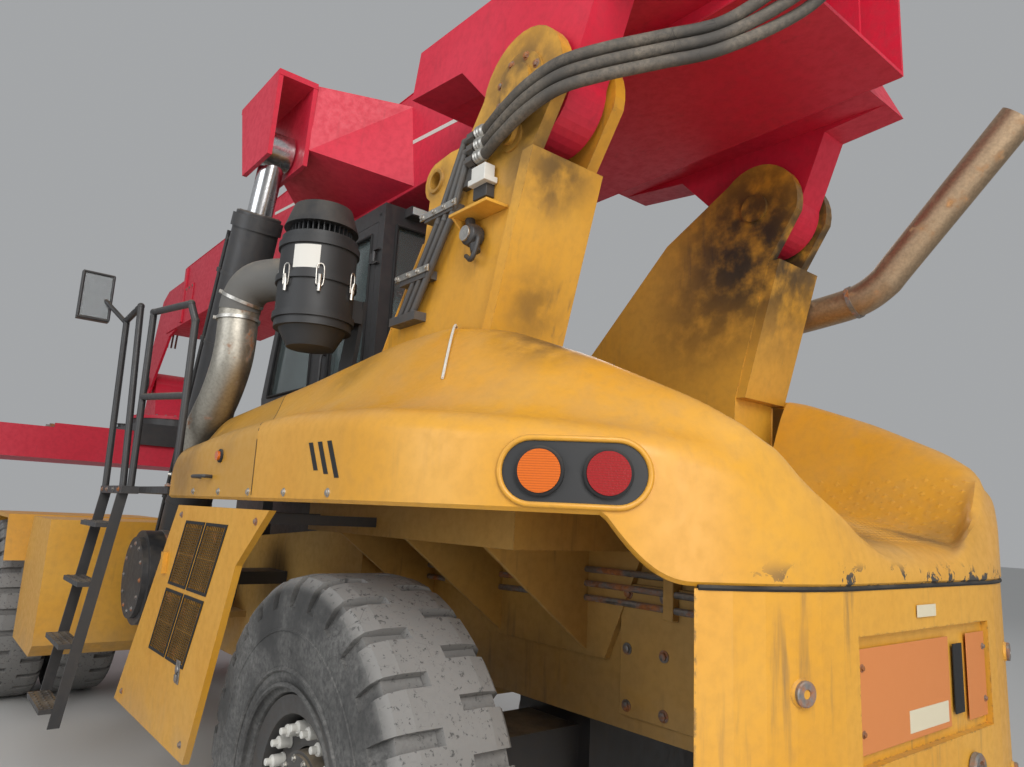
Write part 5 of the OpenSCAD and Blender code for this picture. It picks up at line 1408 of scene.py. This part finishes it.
@dataclass
class Boom(Assembly):
    """Stripe, seams, bolted covers and lugs of the two booms and their lift cylinders."""

    half: float = 0.50
    low: float = 3.98
    front: float = 6.75
    back: float = -1.34
    weld_top: float = 4.722
    nose_pin: Point = (8.43, 0.405, 3.45)
    foot: Point = (3.25, 1.20, 1.30)
    lean: float = math.atan2(1.20, 2.95)
    barrel: float = 2.72
    pipe_out: float = 0.135

    def build(self) -> None:
        """Builds what rides on the outer boom, the inner boom and the cylinders."""
        y, near, outer = self.half, self.half + CLEAR, self.half + 0.012
        x0, z0, x1, z1, wide = REAR_AXLE_X + 0.745, 4.26, REAR_AXLE_X + 3.89, 4.56, 0.028
        stripe = Shape().prism([(x0, z0), (x1, z1), (x1, z1 + wide), (x0, z0 + wide)], 1, near, y + 0.0012)
        welds, covers, bolts = Shape(), Shape(), Shape()
        for z in (self.low + 0.004, self.weld_top):
            welds.pipe([(self.back, y, z), (self.front - 0.01, y, z)], 0.04, 0.0055, 6)
        for x in (self.front - 0.42, 4.6):
            covers.box(rel(x, near, 4.18), rel(x + 0.30, outer, 4.44))
            bolts.bolts([rel(x + dx, outer, z) for dx in (0.03, 0.15, 0.27) for z in (4.21, 4.41)],
                        LEFT, 0.011, 0.010)
        covers.lathe([(0, 0.055), (0.030, 0.055), (0.034, 0.050), (0.034, 0.026), (0.018, 0.024)],
                     rel(1.13, y, 4.66), LEFT, 32)
        covers.box(rel(self.front - 0.10, near, self.low + 0.03), rel(self.front - 0.02, y + 0.022, 4.70))
        self.both(stripe, "boom_stripe", "white red_paint", Body.BOOM)
        self.both(welds, "boom_welds", "red red_paint", Body.BOOM, smooth=60)
        self.both(covers, "boom_covers", "red red_paint", Body.BOOM, bevel=0.003)
        self.both(bolts, "boom_bolts", "steel tube_steel", Body.BOOM)
        self.nose()
        self.cylinders()

    def nose(self) -> None:
        """Pin covers and pipes at the inner boom's front end."""
        x, y, z = self.nose_pin
        pins = Shape().lathe([(0.0, 0.105), (0.018, 0.105), (0.022, 0.098), (0.022, 0.02)],
                             rel(x, y, z), LEFT, 40)
        pins.bolts([rel(x + a, y + 0.022, z + b) for a, b in around(6, 0.075, 30)], LEFT, 0.011, 0.010)
        pipes = Shape()
        for y in (0.20, 0.25, 0.30):
            pipes.pipe([(7.74, y, 4.30), (7.86, y, 4.30), (8.00, y, 4.16), (8.06, y, 3.94)], 0.03, 0.013)
        self.both(pins, "nose_pin_covers", "black black_paint", Body.INNER)
        self.both(pipes, "nose_pipes", "steel tube_steel", Body.INNER)

    def along(self, distance: float, out: float = 0.0, side: float = 0.0) -> Array:
        """A place beside a lift barrel, measured up from its foot pin."""
        x, y, z = self.foot
        sin, cos = math.sin(self.lean), math.cos(self.lean)
        return rel(x - sin * distance + cos * out, y + side, z + cos * distance + sin * out)

    def cylinders(self) -> None:
        """Gland bolts, an oil pipe with its clamps and eye rings on both lift cylinders."""
        axis, out = (-math.sin(self.lean), 0, math.cos(self.lean)), self.pipe_out
        gland = Shape().hoop([(CLEAR, 0.150), (0.020, 0.150), (0.026, 0.142), (0.030, 0.100), (0.030, 0.0862),
                              (CLEAR, 0.0862)], self.along(self.barrel), axis, 48)
        gland.bolts([self.along(self.barrel + 0.020, a, b) for a, b in around(12, 0.126)], axis, 0.010, 0.010)
        run = [self.along(d, side, side) for d, side in (
            (0.22, 0.10), (0.26, 0.13), (0.40, out), (2.40, out), (2.52, 0.13), (2.56, 0.10))]
        pipe = Shape().tube(spline(run, 0.05), 0.013, 10)
        for d in (0.6, 1.2, 1.8, 2.3):
            pipe.lathe([(-0.015, 0.022), (0.015, 0.022)], self.along(d, out, out), axis, 12)
            pipe.band(self.along(d), axis, 0.012, 0.1555, 0.159)
        eyes = Shape().hoop([(0.085, 0.118), (0.0885, 0.118), (0.0885, 0.075), (0.085, 0.075)], self.along(0),
                            LEFT, 40)
        self.both(gland, "lift_gland", "black black_paint", Body.BARREL)
        self.both(pipe, "lift_pipe", "black tube_steel", Body.BARREL)
        self.both(eyes, "lift_eye_ring", "steel tube_steel", Body.BARREL)


def plump(angle: Array, wave: Callable[[Array], Array]) -> Array:
    """A sine or cosine with broad shoulders, for cushions between a box and an egg."""
    w = wave(angle)
    return np.sign(w) * np.abs(w) ** 0.45


@dataclass
class Cab(Assembly):
    """Window seals, wiper, door handle, lamps, seat cushions and controls."""

    half: float = 0.72
    back: float = 1.30
    floor: float = 2.2103
    sill: float = 2.70
    head: float = 3.67

    def build(self) -> None:
        """Builds the outside fittings, then the inside."""
        y, x, sill, head = self.half + 0.002, self.back - 0.002, self.sill, self.head
        seals = Shape()
        for rear, side in ((2.24, y), (1.42, -y)):
            seals.seal(((rear, side, sill), (2.99, side, sill), (2.76, side, head), (rear, side, head)),
                       0.011)
        seals.seal(((x, -0.63, 2.64), (x, 0.63, 2.64), (x, 0.63, head), (x, -0.63, head)), 0.011)
        door = Shape().seal(((1.45, y, 2.66), (1.95, y, 2.66), (1.95, y, 3.62), (1.45, y, 3.62)), 0.010)
        handle = Shape().pipe([(1.985, y, z) for y, z in (
            (0.72, 2.66), (0.752, 2.67), (0.756, 2.78), (0.752, 2.89), (0.72, 2.90))], 0.01, 0.010)
        arm = np.array([rel(1.292, 0.0, sill), rel(1.272, 0.10, 2.95), rel(1.282, 0.22, 3.20)])
        wiper = Shape().tube(arm, 0.007, 8)
        wiper.bar(rel(1.280, 0.20, 2.92), rel(1.280, 0.25, 3.46), 0.010, 0.016, (1, 0, 0))
        wiper.lathe([(0, 0.028), (0.02, 0.024)], rel(1.30, 0.0, sill), REARWARD, 20)
        lamps, glass = Shape(), Shape()
        for y in (0.52, -0.52):
            lamps.box(rel(1.215, y - 0.06, 3.735), rel(self.back - CLEAR, y + 0.06, 3.795))
            glass.box(rel(1.211, y - 0.052, 3.742), rel(1.215 - CLEAR, y + 0.052, 3.788))
        lamps.bolts([rel(x, self.half, z) for z in (2.62, 3.74) for x in (1.36, 2.12)], LEFT, 0.010, 0.008)
        self.one(seals, "cab_seals", "gasket cab_trim", smooth=60)
        self.one(door, "cab_door_seal", "gasket cab_trim", Body.DOOR, smooth=60)
        self.one(handle, "cab_door_handle", "black black_paint", Body.DOOR)
        self.one(wiper, "cab_wiper", "black black_paint")
        self.one(lamps, "cab_work_lamps", "black black_paint", bevel=0.003)
        self.one(glass, "cab_lamp_glass", "clear tinted_glass")
        self.inside()

    def inside(self) -> None:
        """Two stuffed cushions, levers, a screen and pedals."""
        z = self.floor
        u, v = np.linspace(-math.pi / 2, math.pi / 2, 13), np.linspace(0, 2 * math.pi, 32, endpoint=False)
        ball = np.stack([np.outer(plump(u, np.cos), plump(v, np.cos)),
                         np.outer(plump(u, np.cos), plump(v, np.sin)),
                         np.outer(plump(u, np.sin), np.ones(len(v)))], 2)
        for name, centre, size in (("seat_cushion", (1.83, 0.0, z + 0.472), (0.25, 0.27, 0.052)),
                                   ("seat_back_cushion", (1.665, 0.0, z + 0.74), (0.045, 0.25, 0.255))):
            egg = Shape().grid(ball * size + rel(*centre), True)
            self.one(egg, name, "trim cab_trim", smooth=60)
        parts = Shape()
        for x, y in ((1.98, -0.36), (1.92, -0.42), (2.04, -0.42)):
            parts.tube(np.array([rel(x, y, z + 0.64), rel(x, y, z + 0.78)]), 0.007, 8)
            parts.lathe([(0.765, 0.012), (0.785, 0.022), (0.810, 0.020), (0.820, 0.008)],
                        rel(x, y, z), UP, 16)
        parts.bar(rel(2.74, -0.30, z + 0.70), rel(2.66, -0.62, z + 0.70), 0.03, 0.22)
        for y in (-0.12, 0.12):
            parts.bar(rel(2.55, y, z + 0.10), rel(2.66, y, z + 0.20), 0.09, 0.015)
        self.one(parts, "cab_controls", "black cab_trim")


@dataclass
class Access(Assembly):
    """Step studs, walkway lozenges, mirror glass and rail feet."""

    plate_z: float = 1.945
    steps: int = 4
    step_low: float = 0.668
    step_pitch: float = 0.35
    step_lean: float = 0.05
    lozenge_pitch: float = 0.06

    def build(self) -> None:
        """Builds the left side's pieces and mirrors them."""
        studs, pitch = Shape(), self.lozenge_pitch
        for i in range(self.steps):
            for x in np.linspace(2.45, 2.87, 8):
                for y in (1.945, 1.985, 2.025):
                    studs.lathe([(0, 0.011), (0.004, 0.008)],
                                rel(x, y - self.step_lean * i, self.step_low + self.step_pitch * i), UP, 8)
        for row, x in enumerate(np.arange(1.74, 2.58, pitch)):
            for y in np.arange(0.78 + pitch / 2 * (row % 2), 1.66, pitch):
                if (x < 2.16 and 1.38 < y < 1.62) or (abs(x - 1.72) < 0.06 and y > 1.6):
                    continue
                turn = 1 if (row + round(y / 0.03)) % 2 else -1
                foot = rel(x, y, self.plate_z)
                a, b = np.array((0.020, turn * 0.012, 0)), np.array((-turn * 0.004, 0.007, 0))
                studs.add([foot + a, foot + b, foot - a, foot - b, foot + (0, 0, 0.0035)], PYRAMID_FACES)
        glass = Shape().box(rel(3.0485, 1.895, 3.10), rel(3.0497, 2.065, 3.40))
        rim = Shape().seal([(3.05, y, z) for y, z in ((1.885, 3.088), (2.075, 3.088), (2.075, 3.412),
                                                      (1.885, 3.412))], 0.009)
        rim.lathe([(-0.03, 0.024), (0.03, 0.024)], rel(3.08, 1.93, 3.25), UP, 16)
        feet = Shape().lathe([(CLEAR, 0.05), (0.010, 0.05)], rel(1.72, 1.66, self.plate_z), UP, 24)
        feet.bolts([rel(1.72 + a, 1.66 + b, self.plate_z + 0.010) for a, b in around(4, 0.035)],
                   UP, 0.008, 0.008)
        feet.bolts([rel(x, 1.8 + CLEAR, 1.922) for x in (2.40, 2.55, 2.73, 2.88)], LEFT, 0.011, 0.010)
        self.both(studs, "tread_studs", "black black_paint")
        self.both(glass, "mirror_glass", "mirror tinted_glass")
        self.both(rim, "mirror_frame", "black black_paint", smooth=60)
        self.both(feet, "rail_feet", "steel black_paint")


@dataclass
class Chassis(Assembly):
    """Gussets, hoses' steel pipes, axle bolts and engine fittings under the hood."""

    beam: float = 0.4103
    cover: float = 0.432
    tank: Point = (2.35, 1.672, 1.40)

    def build(self) -> None:
        """Builds the frame's plates, then the fittings of the running gear, engine and tanks."""
        plates, pipes = Shape(), Shape()
        for x in (-0.30, 0.30, 0.95):
            plates.prism([(self.beam, 1.7497), (1.02, 1.7497), (self.beam, 1.30)], 0, REAR_AXLE_X + x - 0.012,
                         REAR_AXLE_X + x + 0.012)
        plates.box(rel(-0.96, self.beam, 1.10), rel(-0.50, self.cover, 1.62))
        for x in (-0.8, -0.1, 0.7):
            plates.box(rel(x, self.beam, 1.50), rel(x + 0.05, 0.470, 1.70))
        places = [rel(x, self.cover, z) for x in (-0.92, -0.73, -0.54) for z in (1.14, 1.36, 1.58)]
        for z in (1.66, 1.60, 1.54):
            pipes.pipe([(x, 0.452, z - low) for x, low in ((-0.95, 0), (-0.3, 0), (0.5, 0.02), (1.15, 0.02))],
                       0.08, 0.014)
        self.both(plates, "frame_gussets", "chassis frame_paint", bevel=0.004)
        self.both(Shape().bolts(places, LEFT, 0.016, 0.014), "frame_bolts", "steel frame_paint")
        self.both(pipes, "frame_pipes", "steel tube_steel")
        self.axles()
        self.engine()
        self.tanks()

    def axles(self) -> None:
        """Bolts and hoses of the front axle's middle, and caps over the kingpins."""
        axle = Shape().bolts([rel(WHEELBASE - 0.285, a, 0.81 + b) for a, b in around(16, 0.165 * 0.93)],
                             REARWARD, 0.013, 0.05)
        for s in (-1, 1):
            axle.pipe([(0.262, 0.30 * s, 0.88), (0.262, 0.30 * s, 0.95), (0.30, 0.24 * s, 1.0),
                       (0.36, 0.10 * s, 1.03)], 0.02, 0.014)
        caps = Shape().lathe([(1.0603, 0.085), (1.078, 0.085), (1.084, 0.07), (1.084, 0.02)],
                             rel(0, 1.0, 0), UP, 32)
        caps.bolts([rel(a, 1.0 + b, 1.084) for a, b in around(4, 0.065, 45)], UP, 0.009, 0.008)
        self.one(axle, "axle_fittings", "steel tube_steel")
        self.both(caps, "kingpin_caps", "frame frame_paint", Body.KNUCKLE)

    def engine(self) -> None:
        """Cylinder head covers, radiator fins and a coolant pipe."""
        engine = Shape()
        for x in 1.62 + 0.20 * np.arange(6):
            engine.box(rel(x, -0.16, 2.0503), rel(x + 0.14, 0.16, 2.095))
        for z in np.arange(1.43, 2.0, 0.05):
            engine.box(rel(2.9003, -0.40, z), rel(2.912, 0.40, z + 0.02))
        engine.pipe([(1.7, 0.45, 1.3), (2.0, 0.47, 1.35), (2.5, 0.47, 1.3), (2.85, 0.45, 1.2)], 0.05, 0.025, 12)
        self.one(engine, "engine_fittings", "frame frame_paint", bevel=0.004)

    def tanks(self) -> None:
        """Straps and end bolts of the round tank, filler caps and bolts of the square ones."""
        x, end, z = self.tank
        straps, caps = Shape(), Shape()
        for y in (1.22, 1.52):
            straps.band(rel(x, y, z), LEFT, 0.02, 0.2803, 0.286, 56)
        straps.bolts([rel(x + a, end, z + b) for a, b in around(12, 0.20)], LEFT, 0.010, 0.008)
        caps.lathe([(CLEAR, 0.06), (0.03, 0.06), (0.04, 0.05), (0.045, 0.02)], rel(4.4, 0.98, 1.69), UP, 28)
        caps.bolts([rel(x, 1.15, z) for x in (4.05, 4.70) for z in (0.80, 1.30)], LEFT, 0.012, 0.010)
        self.both(straps, "tank_straps", "steel black_paint")
        self.both(caps, "tank_caps", "black black_paint")


@dataclass
class Spreader(Assembly):
    """Ring bolts, slew motors, cylinders and the arms' fittings of the spreader."""

    x: float = 8.43
    half_len: float = 3.029
    half_w: float = 1.219
    lock_in: float = 0.09
    web: float = 0.18
    motor: tuple[float, float] = (0.66, 0.50)
    side_x: float = 0.6903

    def build(self) -> None:
        """Builds what rides on the head, the rotator, the frame and both arms."""
        ring = Shape().bolts([rel(self.x + a, b, 2.992) for a, b in around(28, 0.52)], UP, 0.013, 0.014)
        motors, rods, x = Shape(), Shape(), self.x - 0.30
        for y in (self.motor[1], -self.motor[1]):
            foot = rel(self.x + self.motor[0], y, 0)
            motors.lathe([(2.8413, 0.095), (2.87, 0.095), (2.875, 0.075), (2.905, 0.075), (2.91, 0.085),
                          (2.925, 0.085), (2.930, 0.02)], foot, UP, 28)
            motors.bolts([foot + (a, b, 2.87) for a, b in around(8, 0.083)], UP, 0.007, 0.007)
        for y in (-1.3, -0.8, 0.8, 1.3):
            rods.lathe([(-0.22, 0.035), (0.22, 0.035)], rel(x, y, 2.717), LEFT, 20)
            rods.lathe([(-0.26, 0.018), (0.26, 0.018)], rel(x, y, 2.717), LEFT, 12)
        for side in (-1, 1):
            for s in (-1, 1):
                rods.bolts([rel(self.x + s * self.side_x, side * y, z) for y in (2.35 - side * 0.03, 2.25)
                            for z in (2.36, 2.62)], (s, 0, 0), 0.012, 0.011)
        self.one(ring, "ring_bolts", "steel red_paint", Body.HEAD)
        self.one(motors, "slew_motors", "black black_paint", Body.ROTATOR)
        self.one(rods, "spreader_cylinders", "steel tube_steel", Body.SPREADER)
        self.arms()

    def arms(self) -> None:
        """Bolts, lamps and twistlock collars of both arms."""
        bolts, collars, lens = Shape(), Shape(), Shape()
        inside = self.half_len - self.web
        for s in (-1, 1):
            x = self.x + s * (self.half_w - self.lock_in)
            collars.hoop([(1.9197, 0.062), (1.905, 0.062), (1.900, 0.055), (1.900, 0.0343), (1.9197, 0.0343)],
                         rel(x, self.half_len - self.lock_in, 0), UP, 28)
            lens.lathe([(CLEAR, 0.035), (0.012, 0.033), (0.016, 0.02)],
                       rel(x - s * 0.45, inside, 2.20), RIGHT, 20)
            bolts.bolts([rel(x + dx, inside, 2.12) for dx in (-0.05, 0.05)], RIGHT, 0.013, 0.012)
            bolts.bolts([rel(self.x + s * dx, inside, 2.58) for dx in (0.5, 0.62)], RIGHT, 0.013, 0.012)
        self.both(bolts, "arm_bolts", "steel tube_steel", Body.ARM)
        self.both(collars, "twistlock_collars", "steel tube_steel", Body.ARM)
        self.both(lens, "arm_lamps", "amber lamp_plastic", Body.ARM)


def main() -> None:
    """Builds every sub-assembly in order."""
    logging.basicConfig(level=logging.INFO, format="%(message)s")
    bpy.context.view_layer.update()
    Studio().build()
    finishes = Finishes()
    for part in (BoomHoses, Hood, AirSystem, Towers, GrilleDoors, Counterweight, Wheels,
                 Boom, Cab, Access, Chassis, Spreader):
        LOG.info("building %s", part.__name__)
        part(finishes).build()


if __name__ == "__main__":
    main()
